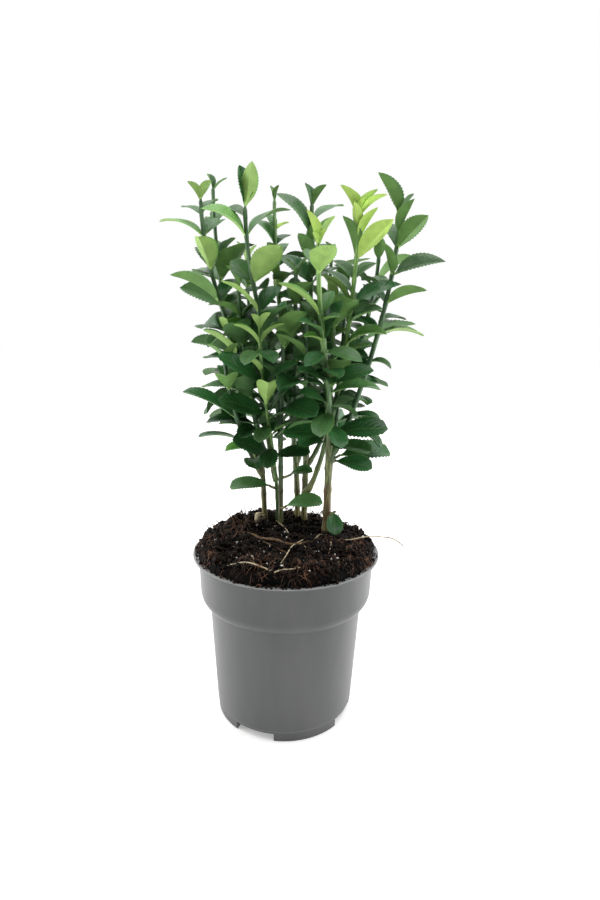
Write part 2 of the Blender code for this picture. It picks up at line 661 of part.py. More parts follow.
def held_leaves(cane, points, others, taken):
    """The leaves of one cane that the table holds, each aimed so that its tip is where it says."""
    leaves = []
    lowest = lengths_along(points)[-1] + HELD_CLEAR
    counts = {}
    for held in HELD:
        if held.cane != cane.number:
            continue
        mark = distance_at_height(points, held.height * MM)
        lowest = min(lowest, mark)
        counts[held.height] = counts.get(held.height, -1) + 1
        centre, direction = place_on(points, mark)
        seat = centre + direction * PAIR_OFFSET * counts[held.height]
        tip = Vector((held.right, held.back, held.up)) * MM
        arch = radians(held.arch)
        azimuth, rise, roll, size = aimed(tip, arch, radians(held.face))
        level = f"held {held.height}"
        leaves.append(free_leaf(cane, level, seat, azimuth, rise, roll, size, arch, others, taken))
    return [leaf for leaf in leaves if leaf], lowest - HELD_CLEAR


def grow_leaves(cane, points, begin, end, others, taken, chance):
    """The leaves of the pairs between two distances along a cane, counted from its tip down."""
    whole = lengths_along(points)[-1]
    leaves = []
    for rank, mark in enumerate(pair_distances(whole, begin + LOWEST_PAIR)):
        if mark > end:
            continue
        centre, direction = place_on(points, mark)
        rise = radians(by_rank(LEAF_RISE, rank))
        length = LEAF_LENGTH * by_rank(LEAF_GROWN, rank) or cane.crest * MM
        outward = outward_at(centre)
        for half in (0, 1):
            azimuth = radians(cane.turn) + pi / 2 * rank + pi * half
            azimuth += chance.uniform(-TURN_JITTER, TURN_JITTER)
            own_rise = rise + chance.uniform(-RISE_JITTER, RISE_JITTER)
            ahead = Vector((cos(azimuth), sin(azimuth), 0))
            own_rise -= radians(by_rank(DROOP_OUT, rank)) * ahead.dot(outward)
            roll = chance.uniform(-ROLL_JITTER, ROLL_JITTER)
            roll -= radians(by_rank(ROLL_OUT, rank)) * ahead.cross(outward).z
            size = length * (1 + chance.uniform(-LENGTH_JITTER, LENGTH_JITTER))
            arch = LEAF_ARCH * chance.uniform(*ARCH_RANGE)
            seat = centre + direction * PAIR_OFFSET * half
            leaves.append(free_leaf(cane, rank, seat, azimuth, own_rise, roll, size, arch, others, taken))
    return [leaf for leaf in leaves if leaf]


def shells_of(shape):
    """The separate shells of a mesh, each a list of faces."""
    waiting = set(shape.faces)
    shells = []
    while waiting:
        front = [waiting.pop()]
        shell = list(front)
        while front:
            for edge in front.pop().edges:
                for face in edge.link_faces:
                    if face in waiting:
                        waiting.remove(face)
                        front.append(face)
                        shell.append(face)
        shells.append(shell)
    return shells


def keep_largest_shell(mesh):
    """Fill a sealed hollow and drop a loose scrap: each is a shell of its own beside the main one."""
    shape = bmesh.new()
    shape.from_mesh(mesh)
    shells = sorted(shells_of(shape), key=len)
    for shell in shells[:-1]:
        bmesh.ops.delete(shape, geom=shell, context="FACES")
    shape.to_mesh(mesh)
    shape.free()


def join_shoot(name, axis_mesh, leaves, group, material):
    """One closed solid from the shoot's axis and its leaves, by a Boolean union on a collection."""
    loose = bpy.data.collections.new(name + "_leaves")
    bpy.context.scene.collection.children.link(loose)
    for index, (place, length, arch) in enumerate(leaves):
        label = f"{name}_leaf_{index + 1}"
        add_object(label, leaf_mesh(label, place, length, arch), loose)
    shoot = add_object(name, axis_mesh, group)
    union = shoot.modifiers.new("leaves", "BOOLEAN")
    union.operation = "UNION"
    union.solver = "EXACT"
    union.operand_type = "COLLECTION"
    union.collection = loose
    bpy.context.view_layer.update()
    mesh = evaluated_mesh(shoot)
    for thing in list(loose.objects):
        bpy.data.objects.remove(thing)
    bpy.data.collections.remove(loose)
    shoot.modifiers.clear()
    keep_largest_shell(mesh)
    shoot.data = mesh
    mesh.name = name
    mesh.materials.clear()
    mesh.materials.append(material)
    return shoot


def cane_solids(cane, points):
    """A cane's bare limb and, a gap above it, the axis of its leafy shoot."""
    whole = lengths_along(points)[-1]
    kind = "bough" if cane.parent else "stem"
    end = distance_at_height(points, cane.leafy * MM)

    def radius_at(mark):
        flare = 0.0 if cane.parent else (FOOT_FLARE - 1) * max(0.0, 1 - mark / FLARE_LENGTH)
        return cane_radius(cane, mark / whole) * (1 + flare)

    bare = limb_mesh(f"{kind}_{cane.number}", points, 0.0, end, STEM_STEP, LIMB_SIDES, radius_at)
    axis = limb_mesh(f"foliage_{cane.number}", points, end + GAP, whole, SHOOT_STEP, TWIG_SIDES, radius_at)
    shade_round(bare)
    return bare, axis, end + GAP


def sprig_path(sprig, curves):
    """Two points of a side shoot's twig: it starts clear of the bark and climbs a little."""
    parent = CANES[sprig.parent - 1]
    points = curves[sprig.parent]
    distance = distance_at_height(points, sprig.height * MM)
    centre, _ = place_on(points, distance)
    bark = cane_radius(parent, distance / lengths_along(points)[-1])
    azimuth = radians(sprig.azimuth)
    way = Vector((cos(azimuth) * cos(SPRIG_RISE), sin(azimuth) * cos(SPRIG_RISE), sin(SPRIG_RISE)))
    start = centre + way * (bark + GAP + SPRIG_RADIUS * sin(SPRIG_RISE)) / cos(SPRIG_RISE)
    return [start, start + way * sprig.twig * MM]


def build_plant(group, bark, foliage):
    curves = {}
    for cane in CANES:
        curves[cane.number] = cane_curve(cane, curves)

    solids = {}
    trees = {}
    for cane in CANES:
        bare, axis, begin = cane_solids(cane, curves[cane.number])
        add_object(bare.name, bare, group, bark)
        solids[cane.number] = (axis, begin)
        trees[cane.number] = (tree_of(bare), tree_of(axis))

    taken = []
    for sprig in SPRIGS:
        path = sprig_path(sprig, curves)
        twig = limb_mesh(f"sprig_{sprig.number}", path, 0.0, sprig.twig * MM, SHOOT_STEP, TWIG_SIDES,
                         lambda mark: SPRIG_RADIUS)
        tip = Vector((sprig.right, sprig.back, sprig.up)) * MM
        arch = radians(sprig.arch)
        azimuth, rise, roll, size = aimed(tip, arch, radians(sprig.face))
        place = leaf_place(path[0].lerp(path[1], SPRIG_SEAT), azimuth, rise, roll)
        join_shoot(twig.name, twig, [(place, size, arch)], group, foliage[sprig.tone])
        taken.append(((twig.name, 0), BVHTree.FromPolygons(*leaf_shell(place, size, arch))))

    limbs = {}
    held = {}
    for cane in CANES:
        others = [pair for number, pair in trees.items() if number != cane.number]
        limbs[cane.number] = [trees[cane.number][0]] + [tree for pair in others for tree in pair]
        held[cane.number] = held_leaves(cane, curves[cane.number], limbs[cane.number], taken)
    chance = random.Random(SEED)
    for cane in CANES:
        axis, begin = solids[cane.number]
        leaves, end = held[cane.number]
        leaves += grow_leaves(cane, curves[cane.number], begin, end, limbs[cane.number], taken, chance)
        join_shoot(axis.name, axis, leaves, group, foliage[cane.tone])


def main():
    clear_scene()
    group = new_collection(PART_NAME)
    cutters = new_collection("cutters")
    build_pot(group, cutters, principled("grey_plastic", POT_COLOUR, roughness=0.5))
    build_soil(group, principled("peat", PEAT_COLOUR, roughness=0.95))
    bark = principled("bark", BARK_COLOUR, roughness=0.8)
    foliage = {tone: principled("leaf_" + tone, colour, roughness=0.35) for tone, colour in TONES.items()}
    build_plant(group, bark, foliage)


main()
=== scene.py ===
# %% [markdown]
# # A young Japanese spindle in its nursery pot
#
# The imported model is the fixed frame: a round pot, its soil, six stems, thirteen boughs and
# the masses of leaves that they carry, all as plain solids. This lesson gives each of them its
# real surface. Every new piece stands where its solid stands and takes that solid's place.
# The origin is on the pot's axis, on the ground, with +X to the right and +Y to the back.

# %% Load the frame
import json
import random
from collections import namedtuple
from functools import partial
from math import asin, atan2, cos, exp, pi, radians, sin

import bpy
import numpy as np
from mathutils import Matrix, Vector, noise
from mathutils.bvhtree import BVHTree

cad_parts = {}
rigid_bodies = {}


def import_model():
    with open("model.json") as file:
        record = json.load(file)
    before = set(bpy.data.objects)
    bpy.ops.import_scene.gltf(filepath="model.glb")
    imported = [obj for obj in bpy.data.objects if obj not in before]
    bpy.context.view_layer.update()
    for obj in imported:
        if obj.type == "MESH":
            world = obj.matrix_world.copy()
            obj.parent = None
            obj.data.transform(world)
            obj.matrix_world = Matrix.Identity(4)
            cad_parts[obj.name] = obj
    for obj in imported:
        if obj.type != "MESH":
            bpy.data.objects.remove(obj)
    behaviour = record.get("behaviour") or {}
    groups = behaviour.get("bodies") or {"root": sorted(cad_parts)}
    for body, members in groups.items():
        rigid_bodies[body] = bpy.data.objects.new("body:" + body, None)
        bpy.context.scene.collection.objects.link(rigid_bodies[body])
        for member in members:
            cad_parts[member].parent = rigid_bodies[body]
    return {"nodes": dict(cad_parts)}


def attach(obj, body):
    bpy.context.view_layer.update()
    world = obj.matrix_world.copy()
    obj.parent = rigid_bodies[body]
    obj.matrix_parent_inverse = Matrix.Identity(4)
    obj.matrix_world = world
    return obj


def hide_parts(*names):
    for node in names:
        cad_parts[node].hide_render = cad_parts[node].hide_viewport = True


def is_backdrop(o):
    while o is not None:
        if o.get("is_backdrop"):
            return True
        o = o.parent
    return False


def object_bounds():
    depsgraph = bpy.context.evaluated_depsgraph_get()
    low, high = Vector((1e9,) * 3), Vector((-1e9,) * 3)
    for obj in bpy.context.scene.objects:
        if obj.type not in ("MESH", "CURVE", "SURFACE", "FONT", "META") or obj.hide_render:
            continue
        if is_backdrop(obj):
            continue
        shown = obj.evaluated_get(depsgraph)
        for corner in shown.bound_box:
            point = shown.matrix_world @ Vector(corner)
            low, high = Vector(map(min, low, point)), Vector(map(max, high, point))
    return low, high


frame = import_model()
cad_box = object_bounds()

MM = 0.001
BODY = "root"
print("nodes:", len(frame["nodes"]))
print("size in mm:", [round(side / MM, 1) for side in cad_box[1] - cad_box[0]])

# %% [markdown]
# ## The view and the light
#
# The photograph was taken from close by and a little above the pot's rim, so the pot narrows
# strongly towards its foot. A camera can be turned with angles by eye, but a matrix says the
# turns in their order: tilted down from the horizon, then rolled by a degree. The studio
# is a white tent that is open towards the camera: light comes from the back and above, with a
# softbox on either side, and the dim opening is what a shiny front mirrors. The backdrop itself
# is white all round, so that every side of the plant is seen before the same paper.

# %% Camera
PHOTO_HEIGHT = 900  # pixels
FOCAL_PIXELS = 590
SENSOR_WIDTH = 36.0
CAMERA_PLACE = Vector((6.9, -315.9, 228.9)) * MM
TILT_DOWN = radians(13.255)
ROLL = radians(1.016)

scene = bpy.context.scene
bpy.ops.object.select_all(action="DESELECT")
bpy.ops.object.camera_add()
camera = bpy.context.object
camera.data.sensor_width = SENSOR_WIDTH
camera.data.lens = SENSOR_WIDTH * FOCAL_PIXELS / PHOTO_HEIGHT
camera.data.clip_start = 1 * MM
tilt = Matrix.Rotation(radians(90) - TILT_DOWN, 4, "X")
camera.matrix_world = Matrix.Translation(CAMERA_PLACE) @ tilt @ Matrix.Rotation(ROLL, 4, "Z")
scene.camera = camera
print("lens", round(camera.data.lens, 2), "mm")

# %% Colours and nodes


def srgb(text):
    """A colour written as sRGB hex, as the linear values that a shader wants."""
    values = [int(text[place:place + 2], 16) / 255 for place in (1, 3, 5)]
    linear = [value / 12.92 if value <= 0.04045 else ((value + 0.055) / 1.055) ** 2.4 for value in values]
    return (*linear, 1.0)


def add_node(material, kind, inputs=(), **settings):
    """One shader node, whose settings are the keywords. The inputs are a row in the order of its
    live sockets, or a dictionary by their names: values, outputs, or nodes for their first output.
    So a noise has its place, scale and detail in a row, and a range its value, from and to."""
    node = material.node_tree.nodes.new("ShaderNode" + kind)
    for name, value in settings.items():
        setattr(node, name, value)
    sockets = [socket for socket in node.inputs if socket.enabled]
    if isinstance(inputs, dict):
        sockets = [node.inputs[name] for name in inputs]
        inputs = inputs.values()
    for socket, value in zip(sockets, inputs):
        if isinstance(value, bpy.types.Node):
            value = next(output for output in value.outputs if output.enabled)
        if isinstance(value, bpy.types.NodeSocket):
            material.node_tree.links.new(value, socket)
        else:
            socket.default_value = value
    return node


def new_material(name):
    """An empty material, and the function that adds a node to it."""
    material = bpy.data.materials.new(name)
    material.use_nodes = True
    material.node_tree.nodes.clear()
    return material, partial(add_node, material)


def end_material(material, inputs):
    """Ends a material with its Principled shader, whose own sockets take the plain values."""
    shader = add_node(material, "BsdfPrincipled", inputs)
    add_node(material, "OutputMaterial", {"Surface": shader})


print("mid grey is", srgb("#808080"))

# %% White tent and floor
WHITE = srgb("#ffffff")
TENT_STRENGTH = 1.0
OPENING = srgb("#505050")
OPENING_FROM = -0.75  # where the tent's opening ends, as a part of the way to the front
OPENING_TO = 0.1
CEILING = ((0, 0, 1.3), 1.6, 12.0)  # the place, size and power of a softbox
SIDES = [((side * 0.85, 0.15, 0.3), 0.7, 5.0) for side in (-1, 1)]
PLANT_MIDDLE = Vector((0, 0, 0.15))
FLOOR_SIZE = 6.0
FLOOR_WHITE = srgb("#f6f6f5")
FLOOR_GLOW = 0.32  # the lit sheet under the pot, which has no visible edge

tent = bpy.data.worlds.new("white_tent")
tent.use_nodes = True
tent.node_tree.nodes.clear()
add = partial(add_node, tent)
way = add("TexCoord").outputs["Generated"]
back = add("SeparateXYZ", [way]).outputs["Y"]
opening = add("MapRange", (back, OPENING_FROM, OPENING_TO), interpolation_type="SMOOTHSTEP")
cloth = add("Mix", (opening, OPENING, WHITE), data_type="RGBA")
seen = add("LightPath").outputs["Is Camera Ray"]
backdrop = add("Mix", (seen, cloth, WHITE), data_type="RGBA")
glow = add("Background", {"Color": backdrop, "Strength": TENT_STRENGTH})
add("OutputWorld", {"Surface": glow})
scene.world = tent
scene.view_settings.view_transform = "Standard"

for place, size, power in (CEILING, *SIDES):
    bpy.ops.object.light_add(type="AREA", location=place)
    softbox = bpy.context.object
    softbox.rotation_euler = (PLANT_MIDDLE - Vector(place)).to_track_quat("-Z", "Y").to_euler()
    softbox.data.shape = "DISK"
    softbox.data.size = size
    softbox.data.energy = power

bpy.ops.mesh.primitive_plane_add(size=FLOOR_SIZE)
floor = bpy.context.object
floor.name = "floor"
paper, _ = new_material("white_paper_sheet")
end_material(paper, {"Base Color": FLOOR_WHITE, "Roughness": 0.9, "Specular IOR Level": 0.0,
                     "Emission Color": WHITE, "Emission Strength": FLOOR_GLOW})
floor.data.materials.append(paper)
floor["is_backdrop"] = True
print("softboxes:", 1 + len(SIDES))

# %% [markdown]
# ## Small helpers
#
# An operator works on whatever is selected, so each new piece starts with nothing selected.
# Edges are picked by a test on their two ends. A shape that is repeated is modelled once as a
# blank, and its points and faces are taken from it for the copies. A finished piece gets its
# materials, is tied to its body and hides the solids that it stands for.

# %% Helpers for every piece


def set_mode(mode):
    bpy.ops.object.mode_set(mode=mode)


def start_clean():
    if bpy.context.object and bpy.context.object.mode == "EDIT":
        set_mode("OBJECT")
    bpy.ops.object.select_all(action="DESELECT")


def pick_edges(piece, wanted):
    """Selects the edges whose two ends pass a test, and goes on in edit mode."""
    set_mode("EDIT")
    bpy.ops.mesh.select_mode(type="EDGE")
    bpy.ops.mesh.select_all(action="DESELECT")
    set_mode("OBJECT")
    for edge in piece.data.edges:
        edge.select = wanted(*[piece.data.vertices[index].co for index in edge.vertices])
    set_mode("EDIT")


def surface_of(piece):
    mesh = piece.data
    return [vertex.co for vertex in mesh.vertices], [list(face.vertices) for face in mesh.polygons]


def taken_from(blank):
    """A blank's points and faces, to be copied by numbers. The blank itself goes."""
    start_clean()
    points, faces = surface_of(blank)
    points = np.array(points)
    bpy.data.objects.remove(blank)
    return points, faces


def apply_modifier(piece, kind, **settings):
    bpy.context.view_layer.objects.active = piece
    modifier = piece.modifiers.new(kind.lower(), kind)
    for name, value in settings.items():
        setattr(modifier, name, value)
    bpy.ops.object.modifier_apply(modifier=modifier.name)


def finish_piece(piece, slot, nodes, *materials):
    """Ties a piece to the plant's body, its finish and the solids that it stands for."""
    for material in materials:
        piece.data.materials.append(material)
    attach(piece, BODY)
    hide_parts(*nodes)
    print(piece.name, len(piece.data.polygons), "faces")


# %% [markdown]
# ## The pot
#
# A nursery pot is injection moulded: one thin wall, a wide collar for stacking, a rolled lip
# and a foot ring with gaps that let water out. It could be a Screw modifier on a drawn profile.
# Here a circle is extruded ring by ring instead, because that is how a turned form is pulled up
# by hand, and each ring keeps a height and a radius that can be read.

# %% Turn a profile into a piece


def turned_piece(name, profile, sides):
    """A closed turned piece: a circle is extruded from ring to ring, and both ends are filled."""
    start_clean()
    radius, height = profile[0]
    bpy.ops.mesh.primitive_circle_add(vertices=sides, radius=radius, location=(0, 0, height))
    piece = bpy.context.object
    piece.name = name
    set_mode("EDIT")
    for next_radius, next_height in profile[1:]:
        bpy.ops.mesh.extrude_region_move(TRANSFORM_OT_translate={"value": (0, 0, next_height - height)})
        share = next_radius / radius
        bpy.ops.transform.resize(value=(share, share, 1))
        radius, height = next_radius, next_height
    bpy.ops.mesh.select_all(action="SELECT")
    bpy.ops.mesh.fill_holes(sides=0)
    bpy.ops.mesh.normals_make_consistent(inside=False)
    set_mode("OBJECT")
    bpy.ops.object.transform_apply(location=True)
    return piece


# %% Pull up the pot
POT_HEIGHT = 96.4 * MM
LIP_RADIUS = 52.5 * MM
LIP_THICK = 1.0 * MM
COLLAR_TOP_RADIUS = 49.4 * MM
COLLAR_LOW_RADIUS = 48.6 * MM
COLLAR_LOW_HEIGHT = 75.5 * MM
BODY_TOP_RADIUS = 43.5 * MM
BODY_TOP_HEIGHT = 68.0 * MM
BODY_LOW_RADIUS = 39.6 * MM
FOOT_RADIUS = 39.0 * MM
FOOT_HEIGHT = 4.6 * MM
FOOT_WIDTH = 5.5 * MM
FOOT_SHOULDER = 1.4 * MM
PAD_RADIUS = 10.0 * MM
WALL = 1.2 * MM
FLOOR = 1.5 * MM
AXIS_RADIUS = 0.5 * MM  # smallest ring, round the axis
POT_SIDES = 128
UNDERCUT_STEPS = 10
EDGE_ROUNDING = 0.35 * MM
EDGE_STEPS = 3
EDGE_ANGLE = radians(30)  # a corner sharper than this is rounded
SMOOTH_ANGLE = radians(35)

pot_floor = FOOT_HEIGHT + FLOOR
pot_profile = [
    (AXIS_RADIUS, pot_floor),
    (BODY_LOW_RADIUS - WALL - FLOOR, pot_floor),
    (BODY_LOW_RADIUS - WALL, pot_floor + FLOOR),
    (BODY_TOP_RADIUS - WALL, BODY_TOP_HEIGHT),
    (COLLAR_LOW_RADIUS - WALL, COLLAR_LOW_HEIGHT),
    (COLLAR_TOP_RADIUS - WALL, POT_HEIGHT - LIP_THICK),
    (COLLAR_TOP_RADIUS - WALL / 2, POT_HEIGHT),
    (LIP_RADIUS, POT_HEIGHT),
    (LIP_RADIUS, POT_HEIGHT - LIP_THICK),
    (COLLAR_TOP_RADIUS, POT_HEIGHT - LIP_THICK),
]
for step in range(UNDERCUT_STEPS + 1):
    turn = radians(90) * step / UNDERCUT_STEPS
    pot_profile.append((BODY_TOP_RADIUS + (COLLAR_LOW_RADIUS - BODY_TOP_RADIUS) * cos(turn),
                        COLLAR_LOW_HEIGHT - (COLLAR_LOW_HEIGHT - BODY_TOP_HEIGHT) * sin(turn)))
pot_profile += [
    (BODY_LOW_RADIUS, FOOT_HEIGHT + FOOT_SHOULDER),
    (FOOT_RADIUS, FOOT_HEIGHT),
    (FOOT_RADIUS, 0),
    (FOOT_RADIUS - FOOT_WIDTH, 0),
    (FOOT_RADIUS - FOOT_WIDTH, FOOT_HEIGHT),
    (PAD_RADIUS, FOOT_HEIGHT),
    (PAD_RADIUS, 0),
    (AXIS_RADIUS, 0),
]
pot = turned_piece("pot_shell", pot_profile, POT_SIDES)
apply_modifier(pot, "BEVEL", width=EDGE_ROUNDING, segments=EDGE_STEPS, limit_method="ANGLE",
               angle_limit=EDGE_ANGLE)
print("pot rings:", len(pot_profile))

# %% Cut the gaps of the foot ring and the drain holes
FOOT_GAPS = 4
FOOT_GAP_ANGLE = radians(34)
FOOT_GAP_TURN = radians(-24)  # middle of the first gap, from +X
NOTCH_ROOF = 0.2 * MM
DRAIN_HOLES = 6
DRAIN_RADIUS = 4.0 * MM
DRAIN_CIRCLE = 24.0 * MM
DRAIN_SIDES = 32
DRAIN_TURN = radians(22)


def polar(radius, angle, height):
    return (radius * cos(angle), radius * sin(angle), height)


start_clean()
gap_width = 2 * FOOT_RADIUS * sin(FOOT_GAP_ANGLE / 2)
cutters = []
for index in range(FOOT_GAPS):
    angle = FOOT_GAP_TURN + 2 * pi * index / FOOT_GAPS
    bpy.ops.mesh.primitive_cube_add(size=1, location=polar(FOOT_RADIUS, angle, 0), rotation=(0, 0, angle))
    bpy.context.object.scale = (3 * FOOT_WIDTH, gap_width, 2 * (FOOT_HEIGHT - NOTCH_ROOF))
    cutters.append(bpy.context.object)
for index in range(DRAIN_HOLES):
    angle = DRAIN_TURN + 2 * pi * index / DRAIN_HOLES
    bpy.ops.mesh.primitive_cylinder_add(vertices=DRAIN_SIDES, radius=DRAIN_RADIUS, depth=4 * FLOOR,
                                        location=polar(DRAIN_CIRCLE, angle, FOOT_HEIGHT + FLOOR / 2))
    cutters.append(bpy.context.object)
for cutter in cutters:
    cutter.select_set(True)
bpy.ops.object.join()
cutter = bpy.context.object
start_clean()
apply_modifier(pot, "BOOLEAN", operation="DIFFERENCE", object=cutter, solver="EXACT")
bpy.data.objects.remove(cutter)
pot.select_set(True)
bpy.context.view_layer.objects.active = pot
bpy.ops.object.shade_smooth_by_angle(angle=SMOOTH_ANGLE)
print("pot cut:", len(pot.data.polygons), "faces")

# %% [markdown]
# ### Moulded polypropylene
#
# The pot is grey polypropylene from a lightly grained mould. It gives the eye a soft, wide
# reflection that grows towards the sides, a faint unevenness in the grey where the melt flowed
# up the wall and a fine dust of soil. Along the lip's top edge and the foot's shoulder a paler
# grey is painted as the highlight that those edges catch.

# %% Pot material
POT_GREY = srgb("#474949")
POT_FLOW = srgb("#505151")
POT_DUST = srgb("#4a443c")
# a paler grey, painted on the lip's top edge and the foot's shoulder as their highlight
POT_EDGE_HIGHLIGHT = srgb("#8e9090")
FLOW_WIDTH = 14 * MM  # one streak of the melt, across
FLOW_STRETCH = 0.25  # and how much longer it is up the wall
FLOW_RANGE = (0.35, 0.7)  # the part of the noise that shows
GRAIN = 0.35 * MM  # the mould's grain, drawn coarser than real so that it shows
GRAIN_DEPTH = 0.1 * MM
DUST_GRAIN = 1.1 * MM
DUST_RANGE = (0.66, 0.74)
DUST_MOST = 0.5
LIP_HIGHLIGHT = (POT_HEIGHT - 0.5 * MM, POT_HEIGHT)
FOOT_HIGHLIGHT_HALF = 0.45 * MM  # how far up and down the foot's shoulder the painted highlight reaches
FOOT_HIGHLIGHT_SHARE = 0.3

plastic, add = new_material("moulded_grey_polypropylene")
place = add("TexCoord").outputs["Object"]
height = add("SeparateXYZ", [place]).outputs["Z"]
stretched = add("Mapping", {"Vector": place, "Scale": (1, 1, FLOW_STRETCH)})
flow = add("TexNoise", (stretched, 1 / FLOW_WIDTH, 2))
flow_share = add("MapRange", (flow, *FLOW_RANGE))
grey = add("Mix", (flow_share, POT_GREY, POT_FLOW), data_type="RGBA")
dust = add("TexNoise", (place, 1 / DUST_GRAIN, 4))
dust_share = add("MapRange", (dust, *DUST_RANGE, 0, DUST_MOST))
dusty = add("Mix", (dust_share, grey, POT_DUST), data_type="RGBA")
# The lip's top edge and the foot's shoulder get a painted highlight in that paler grey.
lip_highlight = add("MapRange", (height, *LIP_HIGHLIGHT))
above_foot = add("Math", (height, FOOT_HEIGHT + FOOT_SHOULDER), operation="SUBTRACT")
from_foot = add("Math", [above_foot], operation="ABSOLUTE")
foot_highlight = add("MapRange", (from_foot, 0, FOOT_HIGHLIGHT_HALF, FOOT_HIGHLIGHT_SHARE, 0))
edge_highlight = add("Math", (lip_highlight, foot_highlight), operation="MAXIMUM")
highlighted = add("Mix", (edge_highlight, dusty, POT_EDGE_HIGHLIGHT), data_type="RGBA")
grain = add("TexNoise", (place, 1 / GRAIN, 1))
grain_bump = add("Bump", {"Height": grain, "Strength": 0.12, "Distance": GRAIN_DEPTH})
end_material(plastic, {"Base Color": highlighted, "Normal": grain_bump, "Roughness": 0.36, "IOR": 1.49})
finish_piece(pot, "pot_plastic", ["pot"], plastic)

# %% [markdown]
# ## The soil
#
# Potting soil is milled peat with fibres, perlite and old roots. Its surface is a mound whose
# lumps are large next to the stems, so the lumps are real geometry: the mound is turned like
# the pot, then pushed out by two Displace modifiers, coarse and fine. It has crept over the
# lip with a ragged edge, and on one side at the back it has sunk into the pot instead.

# %% Turn and roughen the mound
SOIL_HEIGHT = 105.0 * MM
SOIL_FLAT_RADIUS = 34.0 * MM
SOIL_EDGE_HEIGHT = 97.2 * MM
SOIL_CLEAR = 0.6 * MM  # between the soil and the pot's inner wall
SPILL_RADIUS = 50.6 * MM
SPILL_CLEAR = 0.15 * MM
SPILL_RAGGED = 0.05  # of that radius
RAGGED_BAYS = 5
RAGGED_IN = 0.3  # the bays reach further in than out
RAGGED_POWER = 4  # only the outermost part of the mound has them
SINK_TURN = radians(52)  # the sunk side, from +X
SINK_WIDTH = radians(30)
SINK_DEPTH = 4 * MM
SOIL_SIDES = 160
SOIL_RINGS = 56
EDGE_RINGS = 20
CALM_AT = 1.02  # the lumps are gone this far out, as a share of the way to the edge
CALM_RATE = 3  # and fade over one part in so many
LUMPS = (9 * MM, 6.5 * MM)  # size and height
CRUMBS = (2.4 * MM, 3.4 * MM)
LUMP_MIDDLE = 0.55

soil_edge = COLLAR_TOP_RADIUS - WALL - SOIL_CLEAR
soil_profile = [
    (AXIS_RADIUS, pot_floor + SOIL_CLEAR),
    (BODY_LOW_RADIUS - WALL - 2 * SOIL_CLEAR, pot_floor + 2 * FLOOR),
    (BODY_TOP_RADIUS - WALL - SOIL_CLEAR, BODY_TOP_HEIGHT),
    (COLLAR_LOW_RADIUS - WALL - SOIL_CLEAR, COLLAR_LOW_HEIGHT),
    (soil_edge, POT_HEIGHT + SPILL_CLEAR),
    (SPILL_RADIUS, POT_HEIGHT + SPILL_CLEAR),
]
for step in range(EDGE_RINGS + 1):
    turn = radians(90) * (1 - step / EDGE_RINGS)
    soil_profile.append((SOIL_FLAT_RADIUS + (SPILL_RADIUS - SOIL_FLAT_RADIUS) * sin(turn),
                         SOIL_EDGE_HEIGHT + (SOIL_HEIGHT - SOIL_EDGE_HEIGHT) * cos(turn)))
for step in range(1, SOIL_RINGS + 1):
    share = step / SOIL_RINGS
    soil_profile.append((SOIL_FLAT_RADIUS + (AXIS_RADIUS - SOIL_FLAT_RADIUS) * share, SOIL_HEIGHT))
soil = turned_piece("soil_mound", soil_profile, SOIL_SIDES)
top = soil.vertex_groups.new(name="top")
for vertex in soil.data.vertices:
    if vertex.co.z < POT_HEIGHT:
        continue
    radius = Vector((vertex.co.x, vertex.co.y)).length
    angle = atan2(vertex.co.y, vertex.co.x)
    sunk = max(0.0, 1 - ((angle - SINK_TURN) / SINK_WIDTH) ** 2)
    out = max(0.0, (radius - SOIL_FLAT_RADIUS) / (SPILL_RADIUS - SOIL_FLAT_RADIUS))
    ragged = noise.noise(Vector((cos(angle), sin(angle), 0)) * RAGGED_BAYS) - RAGGED_IN
    share = 1 + SPILL_RAGGED * ragged * out ** RAGGED_POWER
    if sunk > 0:
        share = min(share, soil_edge / radius)
    vertex.co = (vertex.co.x * share, vertex.co.y * share, vertex.co.z - SINK_DEPTH * sunk * out)
    if vertex.co.z > POT_HEIGHT + 2 * SPILL_CLEAR or sunk > 0:
        top.add([vertex.index], min(1.0, (CALM_AT - out) * CALM_RATE), "REPLACE")
for label, (size, height) in (("lumps", LUMPS), ("crumbs", CRUMBS)):
    pattern = bpy.data.textures.new(label, "CLOUDS")
    pattern.noise_scale = size
    pattern.noise_depth = 2
    apply_modifier(soil, "DISPLACE", texture=pattern, texture_coords="LOCAL", strength=height,
                   mid_level=LUMP_MIDDLE, direction="Z", vertex_group="top")
soil.data.shade_smooth()
print("soil top at", round(max(vertex.co.z for vertex in soil.data.vertices) / MM, 1), "mm")

# %% [markdown]
# ### Peat
#
# Wet peat is nearly black and drinks the light, with warm brown where fibres lie on top. Two
# noises give that: one for the brown patches and one, finer, for the broken surface.

# %% Peat material
PEAT_BLACK = srgb("#050404")
PEAT_BROWN = srgb("#28180f")
PATCH_SIZE = 6 * MM
PATCH_FRAYED = 0.7
PATCH_RANGE = (0.5, 0.78)
TILTH = 0.9 * MM  # the finest crumbs
TILTH_DEPTH = 0.6 * MM

peat, add = new_material("milled_peat")
place = add("TexCoord").outputs["Object"]
patches = add("TexNoise", (place, 1 / PATCH_SIZE, 6, PATCH_FRAYED))
patch_share = add("MapRange", (patches, *PATCH_RANGE))
brown = add("Mix", (patch_share, PEAT_BLACK, PEAT_BROWN), data_type="RGBA")
tilth = add("TexNoise", (place, 1 / TILTH, 4))
tilth_bump = add("Bump", {"Height": tilth, "Strength": 0.9, "Distance": TILTH_DEPTH})
end_material(peat, {"Base Color": brown, "Normal": tilth_bump, "Roughness": 0.85,
                    "Specular IOR Level": 0.08})
finish_piece(soil, "peat", ["soil"], peat)

# %% [markdown]
# ### Loose crumbs and perlite
#
# One crumb is modelled once: an icosphere, pushed out of round. Copies of its mesh are turned,
# sized and set on the mound by numbers, and joined into one piece, which is much quicker than
# hundreds of objects. A seeded generator makes the same soil each time. Each copy keeps a
# number of its own, its tint, which the material turns to a colour between two.

# %% Model one crumb
CRUMB_ROUGHNESS = 0.45
CRUMB_BUMPS = 1.7

